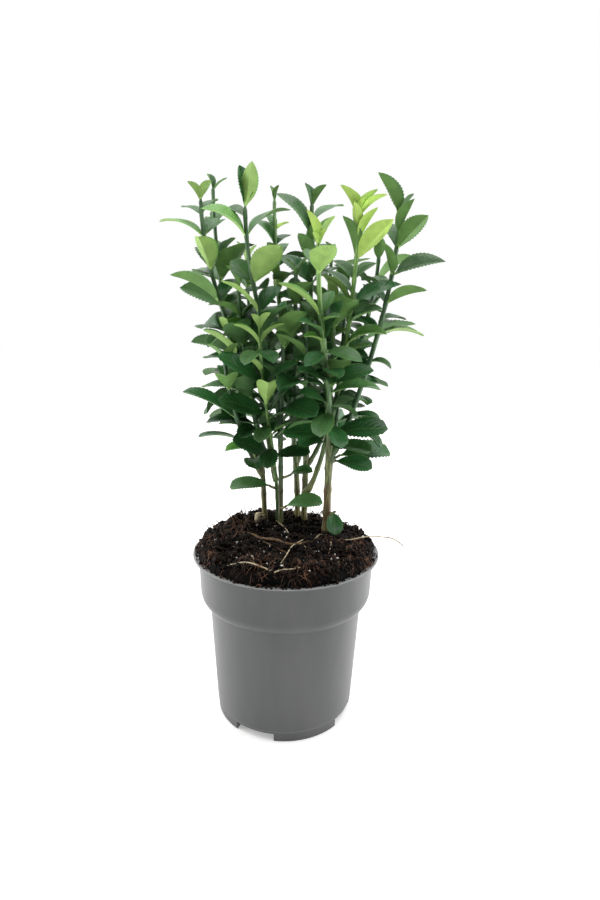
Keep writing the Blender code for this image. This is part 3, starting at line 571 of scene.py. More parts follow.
start_clean()
bpy.ops.mesh.primitive_ico_sphere_add(subdivisions=1, radius=1)
crumb = bpy.context.object
for vertex in crumb.data.vertices:
    vertex.co *= 1 + CRUMB_ROUGHNESS * noise.noise(vertex.co * CRUMB_BUMPS)
crumb_points, crumb_faces = taken_from(crumb)
print("one crumb:", len(crumb_faces), "faces")

# %% Join copies into one piece


def keep(piece, name, values):
    """Stores a number, or a triple, with each point of a piece, for its material to read."""
    values = np.asarray(values, np.float32)
    kind, field = ("FLOAT", "value") if values.ndim == 1 else ("FLOAT_VECTOR", "vector")
    piece.data.attributes.new(name, kind, "POINT").data.foreach_set(field, values.ravel())


def joined_piece(name, parts, faces, tints):
    """One object from a list of point arrays, the faces that each of them shares, and their tints."""
    mesh = bpy.data.meshes.new(name)
    offsets = np.cumsum([0] + [len(part) for part in parts[:-1]])
    all_faces = [[int(index + offset) for index in face] for offset in offsets for face in faces]
    mesh.from_pydata(np.concatenate(parts).tolist(), [], all_faces)
    piece = bpy.data.objects.new(name, mesh)
    scene.collection.objects.link(piece)
    keep(piece, "tint", np.repeat(tints, [len(part) for part in parts]))
    return piece


soil_tree = BVHTree.FromPolygons(*surface_of(soil))


def ground_at(x, y):
    """The height of the soil's surface under a point, or of the pot's lip beyond it."""
    spot = soil_tree.ray_cast(Vector((x, y, 2 * SOIL_HEIGHT)), Vector((0, 0, -1)))[0]
    return spot.z if spot else POT_HEIGHT


print("ground on the axis:", round(ground_at(0, 0) / MM, 1), "mm")

# %% Scatter the copies
SOIL_SEED = 4
SCATTERED = {  # how many, half their width in millimetres, the ring, how deep they lie
    "soil_crumbs": (6500, (0.25, 1.9), (0, soil_edge), 0.3),
    "rim_crumbs": (900, (0.2, 1.1), (soil_edge, LIP_RADIUS - MM), 0.15),
    "perlite_grains": (420, (0.2, 0.9), (0, soil_edge), 0.1),
}
SMALL_POWER = 3  # the higher, the more of them are small
STRETCH = (0.6, 1.4)
SQUASH = (0.5, 1.0)

chance = random.Random(SOIL_SEED)
loose = {}
for name, (count, sizes, (inner, outer), sink) in SCATTERED.items():
    parts = []
    tints = []
    for _ in range(count):
        radius = (chance.uniform(inner ** 2, outer ** 2)) ** 0.5
        x, y, _ = polar(radius, chance.uniform(0, 2 * pi), 0)
        size = sizes[0] + (sizes[1] - sizes[0]) * chance.random() ** SMALL_POWER
        turn = Matrix.Rotation(chance.uniform(0, 2 * pi), 3, (chance.random(), chance.random(), 1))
        stretch = np.array([chance.uniform(*limits) for limits in (STRETCH, STRETCH, SQUASH)])
        spot = np.array([x, y, ground_at(x, y) + size * MM * (1 - 2 * sink)])
        parts.append((crumb_points * stretch * size * MM) @ np.array(turn).T + spot)
        tints.append(chance.random())
    loose[name] = joined_piece(name, parts, crumb_faces, tints)
print("loose pieces:", list(loose))

# %% Crumb and perlite materials
# Loose crumbs have dried a little and are browner. Perlite is a glass foam, white and quite dull.
CRUMB_DARK = srgb("#050404")
CRUMB_LIGHT = srgb("#2e1e14")
PERLITE_WHITE = srgb("#f4f4ee")
PERLITE_GREY = srgb("#a5a59e")


def tinted_material(name, low, high, plain, speckled=False):
    """Each copy has its own colour between two, by its tint, and may be speckled as well."""
    material, add = new_material(name)
    share = add("Attribute", attribute_name="tint").outputs["Fac"]
    if speckled:
        speckle = add("TexNoise", (add("TexCoord").outputs["Object"], 1 / TILTH, 3))
        share = add("Math", (share, speckle), operation="MULTIPLY")
    end_material(material, {"Base Color": add("Mix", (share, low, high), data_type="RGBA"), **plain})
    return material


loose_peat = tinted_material("loose_peat_crumbs", CRUMB_DARK, CRUMB_LIGHT,
                             {"Roughness": 0.7, "Specular IOR Level": 0.12}, speckled=True)
expanded = tinted_material("expanded_perlite", PERLITE_GREY, PERLITE_WHITE, {"Roughness": 0.9})
for name, piece in loose.items():
    finish_piece(piece, "peat", ["soil"], expanded if name == "perlite_grains" else loose_peat)

# %% [markdown]
# ## Rods: one blank for canes, roots and fibres
#
# Stems, roots and fibres are all round and bent. A bevelled curve would do, but its surface is
# bare of any measure along and round it, and a bark pattern needs both. So one straight rod is
# cut into rings by hand, and each copy is laid along its own path. The frame of each ring is
# carried over from the last one, so that the rod doesn't twist.

# %% Cut a rod into rings, and lay it along a path
LEVEL_DIGITS = 5  # points whose heights agree this far are on one ring
NEARLY_ALONG = 0.9  # a path that follows +Y this closely takes its first frame from +X


def rod_blank(sides, rings):
    """Points and faces of a rod of radius 1 and length 1 that stands on the origin."""
    start_clean()
    bpy.ops.mesh.primitive_cylinder_add(vertices=sides, radius=1, depth=1, location=(0, 0, 0.5))
    bpy.ops.object.transform_apply(location=True)
    rod = bpy.context.object
    pick_edges(rod, lambda first, last: abs(first.z - last.z) > 0.5)
    bpy.ops.mesh.subdivide(number_cuts=rings - 1)
    return taken_from(rod)


def lengths_along(points):
    return np.concatenate([[0.0], np.cumsum(np.linalg.norm(np.diff(points, axis=0), axis=1))])


def laid_along(blank, path, radius_at):
    """The blank's points on a path, and each one's measure round and along the rod, in metres."""
    path = np.asarray(path, float)
    marks = lengths_along(path)
    levels, ring = np.unique(np.round(blank[:, 2], LEVEL_DIGITS), return_inverse=True)
    at = levels * marks[-1]
    centres = np.stack([np.interp(at, marks, path[:, axis]) for axis in range(3)], axis=1)
    ways = np.gradient(centres, axis=0)
    ways /= np.linalg.norm(ways, axis=1)[:, None]
    across = np.cross(ways[0], (0, 1, 0) if abs(ways[0][1]) < NEARLY_ALONG else (1, 0, 0))
    frames = []
    for way in ways:
        across = across - way * (across @ way)
        across /= np.linalg.norm(across)
        frames.append((across, np.cross(way, across)))
    frames = np.array(frames)
    angle = np.arctan2(blank[:, 1], blank[:, 0])
    radius = np.array([radius_at(mark, turn) for mark, turn in zip(at[ring], angle)])
    spread = frames[ring, 0] * (blank[:, :1] * radius[:, None])
    spread += frames[ring, 1] * (blank[:, 1:2] * radius[:, None])
    grain = np.stack([blank[:, 0] * radius.mean(), blank[:, 1] * radius.mean(), at[ring]], axis=1)
    return centres[ring] + spread, grain


# %% [markdown]
# ### Roots and fibres
#
# Old roots lie across the mound, one of them hangs out over the rim, and peat is full of fibres
# that stand in tufts where it has been torn. A root's path is a row of points on the ground, each
# with its height above it. A fibre wanders: it turns by the same small angle at every step.

# %% Roots across the mound
Root = namedtuple("Root", "radius age points")
ROOTS = (  # all in millimetres; the age runs from 0, pale, to 1, brown
    Root(0.9, 1.0, ((-28, 1, 0.2), (-20, -1, 1.2), (-14, -6, 1.2), (-6, -13, 1.8), (1, -17, 1.4),
                    (8, -15, 1.0), (15, -8, 0.4))),
    Root(0.45, 1.0, ((-15, -6, 0.6), (-10, -15, 1.4), (-3, -22, 1.2), (3, -24, 0.2))),
    Root(0.35, 0.6, ((8, -15, 1.2), (12, -20, 1.0), (9, -23, 0.2))),
    Root(0.4, 0.5, ((15, -8, 0.6), (19, -3, 2.4), (21, 1, 0.8))),
    Root(0.28, 0.1, ((11, -8, 0.8), (6, -15, 2.4), (3, -20, 2.6), (1, -30, 2.0), (-2, -39, 0.6))),
    Root(0.35, 0.5, ((-7, 22, 0.8), (-2, 10, 1.8), (1, 2, 1.8), (2, -9, 0.4))),
    Root(0.34, 0.3, ((26, -10, 0.6), (30, -9, 1.6), (36, -9, 2.4), (43, -4, 3.4), (50, 2, 5.2),
                     (57, 4, 6.4), (62, 2, 6.4), (66, -3, 4.2))),
    Root(0.4, 0.3, ((-29, -36, 0.2), (-24, -39, 1.8), (-19, -41, 2.2), (-11, -44, 2.0), (-6, -46, 0.8))),
    Root(0.4, 0.3, ((-5, -46, 0.6), (-1, -45, 1.6), (3, -44, 1.6), (8, -42, 0.4))),
    Root(0.3, 0.2, ((-17, -33, 0.2), (-16, -36, 3.0), (-15, -41, 0.6))),
    Root(0.3, 0.7, ((24, -10, 0.2), (25, -18, 2.6), (23, -26, 0.5))),
    Root(0.4, 0.4, ((20, 26, 0.4), (24, 22, 2.2), (30, 15, 0.6))),
    Root(2.9, 0.25, ((-17.2, 21.8, -3), (-16.6, 21.2, 4.8))),     # the stump of a stem cut off
)
ROOT_SIDES = 8
ROOT_RINGS = 28
ROOT_KNOTS = 0.35
KNOT_SPACING = 2.2 * MM
APART = 9  # so far apart in the noise, no two roots have the same knots


def smoothed(points):
    """Cuts each corner of a path twice."""
    for _ in range(2):
        cut = [0.75 * a + 0.25 * b if side == 0 else 0.25 * a + 0.75 * b
               for a, b in zip(points, points[1:]) for side in (0, 1)]
        points = [points[0]] + cut + [points[-1]]
    return points


def on_ground(x, y, lift):
    """A point over the soil, from millimetres."""
    return np.array([x * MM, y * MM, ground_at(x * MM, y * MM) + lift * MM])


root_blank, root_faces = rod_blank(ROOT_SIDES, ROOT_RINGS)
root_parts = []
for number, root in enumerate(ROOTS):

    def root_radius(mark, turn):
        spot = Vector((cos(turn), sin(turn), mark / KNOT_SPACING + APART * number))
        return root.radius * MM * (1 + ROOT_KNOTS * noise.noise(spot))

    path = smoothed([on_ground(*point) for point in root.points])
    root_parts.append(laid_along(root_blank, path, root_radius)[0])
roots_piece = joined_piece("old_roots", root_parts, root_faces, [root.age for root in ROOTS])
roots_piece.data.shade_smooth()
print("roots:", len(ROOTS))

# %% Fibres in tufts and all over
FIBRES = 500
FIBRE_LENGTH = (2, 9)  # millimetres
FIBRE_RADIUS = (0.06, 0.15)
FIBRE_BEND = 0.8  # most turn at one step
FIBRE_LIFT = 1.6  # how far a fibre's middle stands off the ground
FIBRE_CLEAR = 0.1
FIBRE_DULL = 0.6  # the most tint of a fibre outside the tufts
FIBRE_SIDES = 4
FIBRE_RINGS = 7
FROM_RIM = 0.02  # they end this share of the lip's radius inside it
TUFT_SPREAD = 3.0
TUFT_FIBRES = 26
TUFT_TINTS = (0.3, 1.0)
TUFTS = ((15, -37), (24, -9), (33, -14), (-40, -22), (-17, -38), (-7, -35), (-26, 3), (-20, 18),
         (-12, -45), (9, -44), (41, -8), (30, -30), (-47, -6), (-30, 18), (44, -22))
STANDING = 190  # fibres that stand up at the back, behind the stems
STANDING_RING = (28, 46)  # millimetres
STANDING_SIDE = (radians(20), radians(200))
STANDING_UP = (0.15, 0.65)
STANDING_LIFT = 0.5
STANDING_THICK = 2.2
STANDING_LONG = 1.4

fibre_blank, fibre_faces = rod_blank(FIBRE_SIDES, FIBRE_RINGS)
fibre_parts = []
fibre_tints = []


def add_fibre(x, y, lift, tint, standing=0.0):
    """A fibre from a point in millimetres: it lies in an arch or, when thicker, stands up by a share."""
    length = chance.uniform(*FIBRE_LENGTH) * (STANDING_LONG if standing else 1)
    heading = chance.uniform(0, 2 * pi)
    bend = chance.uniform(-FIBRE_BEND, FIBRE_BEND)
    radius = chance.uniform(*FIBRE_RADIUS) * MM * (STANDING_THICK if standing else 1)
    path = []
    for step in range(FIBRE_RINGS):
        share = step / (FIBRE_RINGS - 1)
        reach = Vector((x, y)).length
        inside = min(1.0, LIP_RADIUS / MM / reach - FROM_RIM) if reach else 1.0
        up = lift * sin(pi * share) + standing * length * share
        path.append(on_ground(x * inside, y * inside, FIBRE_CLEAR + up))
        x += cos(heading) * length / FIBRE_RINGS * (1 - standing)
        y += sin(heading) * length / FIBRE_RINGS * (1 - standing)
        heading += bend
    fibre_parts.append(laid_along(fibre_blank, path, lambda mark, turn: radius)[0])
    fibre_tints.append(tint)


for _ in range(FIBRES):
    x, y, _ = polar(SPILL_RADIUS / MM * chance.random() ** 0.5, chance.uniform(0, 2 * pi), 0)
    add_fibre(x, y, chance.uniform(0, FIBRE_LIFT), chance.random() * FIBRE_DULL)
for x, y in TUFTS:
    for _ in range(TUFT_FIBRES):
        add_fibre(x + chance.gauss(0, TUFT_SPREAD), y + chance.gauss(0, TUFT_SPREAD),
                  chance.uniform(0, 2 * FIBRE_LIFT), chance.uniform(*TUFT_TINTS))
for _ in range(STANDING):
    x, y, _ = polar(chance.uniform(*STANDING_RING), chance.uniform(*STANDING_SIDE), 0)
    add_fibre(x, y, STANDING_LIFT, chance.random() * FIBRE_DULL, chance.uniform(*STANDING_UP))
fibres_piece = joined_piece("peat_fibres", fibre_parts, fibre_faces, fibre_tints)
print("fibres:", len(fibre_parts))

# %% Root and fibre materials
# A dry root's skin is dull tan, paler while young, with soil in its folds. Fibres are a rusty brown.
ROOT_SKIN = srgb("#74593a")
ROOT_PALE = srgb("#dccfae")
ROOT_DIRT = srgb("#4a3524")
DIRT_RANGE = (0.45, 0.65)
FIBRE_DARK = srgb("#150d08")
FIBRE_RED = srgb("#7a5238")

root_skin, add = new_material("dry_root_skin")
tint = add("Attribute", attribute_name="tint").outputs["Fac"]
place = add("TexCoord").outputs["Object"]
dirt = add("TexNoise", (place, 1 / KNOT_SPACING, 4))
dirt_share = add("MapRange", (dirt, *DIRT_RANGE))
skin = add("Mix", (tint, ROOT_PALE, ROOT_SKIN), data_type="RGBA")
dirty = add("Mix", (dirt_share, skin, ROOT_DIRT), data_type="RGBA")
end_material(root_skin, {"Base Color": dirty, "Roughness": 0.8})
finish_piece(roots_piece, "peat", ["soil"], root_skin)

strands = tinted_material("peat_fibre_strands", FIBRE_DARK, FIBRE_RED, {"Roughness": 0.7})
finish_piece(fibres_piece, "peat", ["soil"], strands)

# %% [markdown]
# ## Canes
#
# The shrub stands on six stems from one clump of cuttings, and thirteen boughs fork off them.
# Each is green and faintly four-cornered while young, with a swelling wherever a pair of leaves
# sits, and turns tan and corky near the soil. The paths follow the same rule as the solids, so
# that each limb grows exactly out of the solid's place.

# %% The canes of the clump
# Places are (right, back, up) in millimetres. A bough has a parent and the height of its fork, a
# stem has a foot. The bow bends its middle. Then come its girth at the base, the height where its
# leaves start, the length of its smallest leaves at the tip, how its first pair is turned, and its
# run of tones.
Cane = namedtuple("Cane", "number parent fork foot tip bow girth leafy crest turn tone")
CANES = (
    Cane(1, 0, 0, (-14, 24), (-48, 18, 286), (5, 0), 3.2, 138, 15, 12, "mid"),
    Cane(2, 0, 0, (-6, 25), (-15, -7, 226), (0, 0), 3.2, 139, 12, 85, "mid"),
    Cane(3, 0, 0, (-4, 20), (-23, 2, 280), (5, 5), 2.9, 152, 28, 90, "fresh"),
    Cane(4, 0, 0, (6, 28), (-10, 40, 290), (0, 0), 3.6, 154, 11, 110, "mid"),
    Cane(5, 0, 0, (10, 23), (11, 25, 286), (1, 0), 3.6, 152, 13, 48, "dark"),
    Cane(6, 0, 0, (23, 8), (14, -16, 262), (3, 0), 4.6, 152, 20, 5, "new"),
    Cane(7, 1, 138, None, (-44, 36, 295), (0, 4), 2.6, 158, 11, 45, "mid"),
    Cane(8, 5, 122, None, (35, 6, 278), (1, 0), 3.0, 140, 20, 50, "new"),
    Cane(9, 6, 149, None, (57, 12, 280), (0, 0), 3.0, 162, 22, 145, "mid"),
    Cane(10, 6, 170, None, (24, 10, 238), (0, 0), 2.2, 182, 14, 0, "mid"),
    Cane(11, 4, 138, None, (24, 62, 264), (0, 4), 2.8, 160, 14, 70, "mid"),
    Cane(12, 2, 130, None, (-28, 62, 260), (0, 8), 2.6, 158, 14, 30, "mid"),
    Cane(13, 5, 138, None, (50, 38, 262), (0, 4), 2.6, 168, 14, 90, "dark"),
    Cane(14, 1, 132, None, (-34, 2, 204), (0, 0), 2.2, 141, 14, -8, "dark"),
    Cane(15, 3, 150, None, (-3, 4, 226), (0, 0), 2.2, 166, 14, 40, "dark"),
    Cane(16, 6, 138, None, (31, 25, 246), (0, 0), 2.2, 158, 14, 60, "dark"),
    Cane(17, 2, 138, None, (-28, 16, 244), (0, 0), 2.2, 158, 14, 70, "dark"),
    Cane(18, 4, 152, None, (3, 14, 250), (0, 0), 2.0, 172, 14, 20, "dark"),
    Cane(19, 5, 142, None, (9, -2, 224), (0, 0), 2.0, 152, 14, 60, "dark"),
)
GAP = 0.3 * MM
GROUND = SOIL_HEIGHT + GAP
ROOT_DEPTH = 6 * MM
TIP_RADIUS = 0.95 * MM
FORK_LEAN = radians(38)
STEM_PULL = 0.33  # how long a limb keeps its first direction, as a share of its reach
FORK_PULL = 0.08
TIP_PULL = 0.36
CURVE_STEPS = 240

paths = {}
roots = {}


def cane_radius(cane, share):
    return cane.girth * MM / 2 * (1 - share) + TIP_RADIUS * share


def point_at(path, distance):
    marks = lengths_along(path)
    return Vector([np.interp(distance, marks, path[:, axis]) for axis in range(3)])


def way_at(path, distance):
    return (point_at(path, distance + MM) - point_at(path, distance - MM)).normalized()


def distance_at_height(path, height):
    above = np.nonzero(path[:, 2] >= height)[0]
    return lengths_along(path)[above[0] if len(above) else -1]


def fork_of(cane):
    """Where a bough starts: its root inside the parent, the start of its own axis, and its lean."""
    parent = CANES[cane.parent - 1]
    path = paths[cane.parent]
    distance = distance_at_height(path, cane.fork * MM)
    centre = point_at(path, distance)
    side = (Vector(cane.tip) * MM - centre) * Vector((1, 1, 0))
    lean = side.normalized() * sin(FORK_LEAN) + Vector((0, 0, cos(FORK_LEAN)))
    angle = way_at(path, distance).angle(lean)
    bark = cane_radius(parent, distance / lengths_along(path)[-1])
    away = (bark + GAP + cane.girth * MM / 2 * cos(angle)) / sin(angle)
    return centre, centre + lean * away, lean


def cane_path(cane):
    """Fine points along a cane: it leaves the soil upright, or its fork leaning, and ends upright."""
    tip = Vector(cane.tip) * MM
    if cane.parent:
        root, start, lean = fork_of(cane)
    else:
        start = Vector((cane.foot[0] * MM, cane.foot[1] * MM, GROUND))
        root, lean = start - Vector((0, 0, ROOT_DEPTH)), Vector((0, 0, 1))
    roots[cane.number] = root
    reach = (tip - start).length
    pull_start = start + lean * reach * (FORK_PULL if cane.parent else STEM_PULL)
    pull_end = tip - Vector((0, 0, reach * TIP_PULL))
    bow = Vector((*cane.bow, 0)) * MM
    points = []
    for step in range(CURVE_STEPS + 1):
        t = step / CURVE_STEPS
        point = start * (1 - t) ** 3 + pull_start * 3 * t * (1 - t) ** 2
        point += pull_end * 3 * t ** 2 * (1 - t) + tip * t ** 3
        points.append(point + bow * sin(pi * t) ** 2)
    return np.array(points)


for cane in CANES:
    paths[cane.number] = cane_path(cane)
print("cane lengths in mm:", [round(lengths_along(path)[-1] / MM) for path in paths.values()])

# %% [markdown]
# ### Where the leaves sit
#
# The leaves that stand out in front were set one by one, as the photograph holds them. A row
# gives the height at which a leaf sits on its cane and where its tip lies from there, to the
# right, to the back and up, in millimetres. Then come its arch and how far its face is rolled,
# in degrees, how sharply it is folded, and its tone. Further down a cane, and on the canes that
# are hidden, opposite pairs follow a rule: closest at the tip, widest in the middle.

# %% Leaves of the front canes
Held = namedtuple("Held", "cane height right back up arch face fold tone")


def held_leaves(rows_by_cane):
    return [Held(cane, *row) for cane, rows in rows_by_cane.items() for row in rows]


HELD = held_leaves({
    1: [(285, -6.5, -4, 8.5, 30, -20, 0.46, "fresh"), (285, 7, -5, 8.5, 30, -20, 0.46, "fresh"),
        (277, -13, 10, 5.5, 45, 8, 0.06, "mid"), (277, 8, 10, 9, 40, 0, 0.2, "mid"),
        (266, -26, 6, 8.5, 62, 8, 0.06, "fresh"), (266, 8.5, 20, 11, 45, 10, 0.2, "mid"),
        (249, -3, -22, 15.5, 25, 0, 0.46, "fresh"), (249, 2, 24, 13, 45, 0, 0.2, "mid"),
        (232, -27, -4, 14.5, 42, -8, 0.33, "mid"), (232, 9, 18, 13.5, 45, 0, 0.2, "dark"),
        (210, -1, -18, 18, 30, 0, 0.33, "fresh"), (203, -18, -11, 15, 35, 10, 0.2, "fresh"),
        (198, -24, 15, 2, 40, 10, 0.15, "dark"), (188, -21.5, 12, 5, 40, 20, 0.15, "dark"),
        (180, -29, 4, 4.5, 50, 4, 0.1, "mid"), (160, -24, 5, 2.5, 50, 15, 0.2, "mid"),
        (149, -20, 6, -1, 40, 15, 0.2, "fresh")],
    2: [(219, -4, -6, 8, 20, -10, 0.46, "fresh"), (219, 6, -4, 8.3, 20, -10, 0.46, "fresh"),
        (211.5, -13.5, -5, 10.2, 55, 10, 0.2, "fresh"), (211.5, 13, -3, 10.5, 55, 10, 0.2, "fresh"),
        (208, -6.5, -21, -6, 30, 0, 0.12, "mid"), (208, 8, -19, -5.5, 30, 0, 0.12, "dark"),
        (196, -6.5, -5, 8, 30, 0, 0.33, "fresh"), (189, -24.5, -6, 16, 30, 35, 0.12, "dark"),
        (189, 18, -12, 12.8, 30, 30, 0.12, "dark"), (178, 2.5, -21, 15, 25, 0, 0.33, "fresh"),
        (178, -3.5, 22, 6, 30, 0, 0.2, "mid"), (172, -26.5, -8, 9.5, 25, 40, 0.1, "dark"),
        (172, 16, -8, 20, 25, 30, 0.12, "dark"), (159.5, 20, -8, 20.5, 25, 20, 0.12, "mid"),
        (159.5, -8, 18, 4, 30, 0, 0.12, "dark"), (146, -25.5, -8, 10, 25, 40, 0.1, "dark"),
        (146, 22, 0, 10.5, 30, 30, 0.1, "dark")],
    3: [(279, 5, -7, 20.5, 20, -35, 0.46, "fresh"), (279, -3.5, 6, 21, 20, 0, 0.46, "dark"),
        (275, -14, 12, 4, 40, 20, 0.2, "mid"), (265, -21, -12, 11.5, 62, 35, 0.15, "fresh"),
        (265, 23, 8, 14.5, 62, 6, 0.08, "mid"), (242, 16, -15, 18, 30, -25, 0.22, "fresh"),
        (242, -14.5, 8, 11.5, 40, 55, 0.15, "mid"), (226, -20, -8, 17, 45, 8, 0.12, "fresh"),
        (226, 11.5, 10, 15, 40, 20, 0.2, "dark")],
    4: [(289, -2.5, 1, 8.5, 20, 0, 0.46, "mid"), (289, 2.5, -1, 8, 20, 0, 0.46, "mid"),
        (273, 8.5, 3, 5, 40, 10, 0.2, "new"), (273, -6, 6, 9.5, 40, 10, 0.2, "mid"),
        (264, -14, 4, 14.5, 60, 20, 0.2, "mid"), (264, 9, 8, 7, 40, 10, 0.2, "dark"),
        (256, -5, -9, 9.5, 30, -20, 0.46, "mid"), (256, 6, 14, 11, 30, 0, 0.2, "mid"),
        (238, -1, -9, 8, 30, 0, 0.33, "fresh")],
    5: [(283, -4, 4, 13.5, 20, -10, 0.5, "dark"), (283, 8, -3, 10.7, 25, -30, 0.5, "mid"),
        (268, -20.5, -4, 21.5, 52, 40, 0.15, "mid"), (275, 18.7, 10, 11, 60, 8, 0.06, "mid"),
        (254, -7.5, -11, 15, 30, -10, 0.33, "mid"), (254, 10, 16, 12, 35, 0, 0.2, "dark"),
        (243, -20, 4, 15, 50, 35, 0.15, "dark"), (243, 23.5, 6, 9.8, 50, 4, 0.08, "dark"),
        (229, -16, -14, 8, 35, 30, 0.15, "dark"), (229, 14, -14, 6.5, 35, 30, 0.15, "dark")],
    6: [(259, -6, -2, 17, 15, 0, 0.46, "new"), (259, 8, 3, 14.5, 25, 0, 0.46, "fresh"),
        (259, -3, -6, 5.5, 20, 0, 0.46, "new"), (259, 4, -5, 6.5, 20, 0, 0.46, "new"),
        (246, 4, -22, 11.5, 25, 0, 0.2, "fresh"), (246, -4, 20, 13, 35, 0, 0.2, "mid"),
        (226, -21.5, -6, 16, 45, 14, 0.15, "fresh"), (226, 6.5, 9, 13, 30, 10, 0.2, "mid"),
        (224, 9, -9, 2.5, 35, 20, 0.2, "mid"), (213, 10.5, -4, 20.5, 30, 40, 0.15, "dark"),
        (213, -10, -7, 2.5, 50, 20, 0.2, "fresh"), (208, -9.5, -12, -6.5, 40, 30, 0.15, "dark"),
        (218, -12, -14, 6, 35, 20, 0.15, "dark"), (199, 6, -20, -2, 40, 0, 0.12, "dark"),
        (199, -18, 6, 4, 35, 20, 0.12, "dark"), (208, 18.5, -10, -4.5, 40, 30, 0.15, "mid"),
        (191, 23.5, -8, 8, 35, 35, 0.12, "dark"), (191, -15, -14, 8, 35, 30, 0.12, "dark"),
        (186, 29, 2, 2.2, 50, 12, 0.15, "mid"), (180, -15, -12, 7, 35, 30, 0.12, "dark"),
        (163, 31, -9, 4.7, 25, 35, 0.12, "dark"), (163, -25, -4, 5, 30, 35, 0.12, "dark"),
        (157, 24, 4, -2, 25, 20, 0.12, "mid"), (157, 7, -6, -1.5, 40, 20, 0.2, "dark")],
    7: [(293, 8, 2, 7, 40, 6, 0.1, "mid"), (293, -4, 4, 8.8, 40, 0, 0.46, "mid"),
        (275, 9, 10, 11, 40, 0, 0.2, "mid"), (275, -6, 3, 4.7, 40, 6, 0.1, "dark"),
        (256, 9.3, 8, 13.5, 30, -10, 0.46, "dark"), (256, -11.5, 14, 11.5, 30, 0, 0.2, "mid")],
    8: [(275, -10.7, -3, 16, 30, -20, 0.46, "new"), (275, 10, 6, 15.5, 30, 0, 0.46, "new"),
        (275, -4, 5, 14.5, 20, 0, 0.46, "new"), (275, 14, -3, 10.5, 40, 0, 0.2, "new"),
        (275, 2, -6, 8, 15, 0, 0.46, "new"), (254.5, 18, -12, 18.5, 25, -40, 0.33, "new"),
        (254.5, -8.3, -3, 21, 25, -15, 0.46, "mid"), (245, -12, 8, 10.6, 40, 20, 0.2, "mid"),
        (245, 13, 6, 9, 40, 20, 0.2, "mid"), (230, -18, -5, 17.4, 60, 10, 0.12, "fresh"),
        (233, 26, -4, 10, 35, 35, 0.15, "dark"), (223, 16, -12, 7, 35, 30, 0.2, "mid"),
        (211, 21, -8, 5.8, 70, 25, 0.2, "fresh"), (209, 18, 6, 2, 30, 30, 0.12, "dark"),
        (203, 11, 10, 0, 40, 10, 0.1, "mid")],
    9: [(278, -13.5, -4, 20, 20, -25, 0.46, "mid"), (278, 7, 2, 11, 25, -10, 0.5, "dark"),
        (261, 14, -14, 15, 25, -35, 0.33, "mid"), (261, -5.5, 14, 15, 35, 0, 0.2, "mid"),
        (247, -12, -8, 16.5, 30, 30, 0.2, "mid"), (247, 28, -4, 7, 35, 35, 0.2, "mid"),
        (233, 20, -10, 7, 30, 0, 0.46, "mid"), (233, -12, 12, 10, 30, 0, 0.2, "dark"),
        (226, 15, 8, -1, 30, 15, 0.12, "dark"), (224, 9, 12, -1, 30, 20, 0.12, "mid"),
        (217, 26.5, 4, -1, 50, 6, 0.12, "fresh"), (217, -14, 10, 7.5, 30, 10, 0.12, "dark"),
        (202.5, 12, -2, -4, 75, 20, 0.2, "mid"), (202.5, -12, 8, 5, 35, 20, 0.12, "dark"),
        (182, 7, 6, -3, 40, 20, 0.2, "mid")],
})
print("held leaves:", len(HELD))

# %% Pairs on the rest
HELD_CLEAR = 9.0 * MM  # pairs start this far below the lowest leaf that was set
PAIR_SPACING = 19.5 * MM
PAIR_CROWDING = 0.78  # the first pair is this much closer, and the next ones less and less
PAIR_OPENING = 0.25
PAIR_CLOSING = 0.935
LOWEST_PAIR = 4.0 * MM

held_seats = {}
for leaf in HELD:
    held_seats.setdefault(leaf.cane, []).append(distance_at_height(paths[leaf.cane], leaf.height * MM))
pairs = {}
for cane in CANES:
    path = paths[cane.number]
    lowest = distance_at_height(path, cane.leafy * MM) + GAP + LOWEST_PAIR
    free_below = min(held_seats.get(cane.number, [float("inf")])) - HELD_CLEAR
    pairs[cane.number] = []
    mark = lengths_along(path)[-1]
    rank = 0
    while True:
        mark -= PAIR_SPACING * (1 - PAIR_CROWDING * PAIR_OPENING ** rank) * PAIR_CLOSING ** rank
        if mark < lowest:
            break
        if mark < free_below:
            pairs[cane.number].append((rank, mark))
        rank += 1
print("leaf pairs:", sum(len(marks) for marks in pairs.values()))

# %% [markdown]
# ### The shape of a cane
#
# A rod is laid along each path. Its radius takes up all that a spindle's cane shows: it flares
# into the soil or swells over its fork, thickens at each pair of leaves and at the scars of old
# ones, has four faint corners where it is young and lumps where it is old, and closes in a bud.

# %% Lay a rod along each cane
CANE_SIDES = 16
CANE_RINGS = 170
FOOT_FLARE = 1.35
FLARE_LENGTH = 5.0 * MM
COLLAR_SWELL = 0.35  # a bough's base is this much thicker
COLLAR_LENGTH = 2.5 * MM
NODE_SWELL = 0.20
NODE_LENGTH = 1.3 * MM
SCAR_SPACING = 14 * MM  # old pairs, below the leafy part
SCAR_LOWEST = 12 * MM
CORNER = 0.06  # how far the four corners stand out
CORNERS_FROM = 60 * MM  # they are full from here up
BARK_RELIEF = 0.11
BARK_SMOOTHER = 0.7  # how much of that a young limb has lost
BARK_AROUND = 1.6  # lumps round the limb
BARK_ALONG = 4 * MM
BUD_LENGTH = 2.0 * MM
BUD_TIP = 0.15
YOUTH = {2: 0.7, 4: 0.5, 6: 0.9, 8: 1.0, 10: 0.5}  # how light the green of a cane's top is
YOUTH_ELSE = 0.1
SLIM = {2: 0.74}  # drawn thinner than its solid
GREENER = {2: 75, 3: 15, 6: -12}  # how much further down a cane is green, in millimetres


def limb_piece(name, blank, path, radius_at, youth):
    """A rod along a path, with the measures that the bark's material reads."""
    points, grain = laid_along(blank[0], path, radius_at)
    piece = joined_piece(name, [points], blank[1], [youth])
    keep(piece, "grain", grain)
    piece.data.shade_smooth()
    return piece


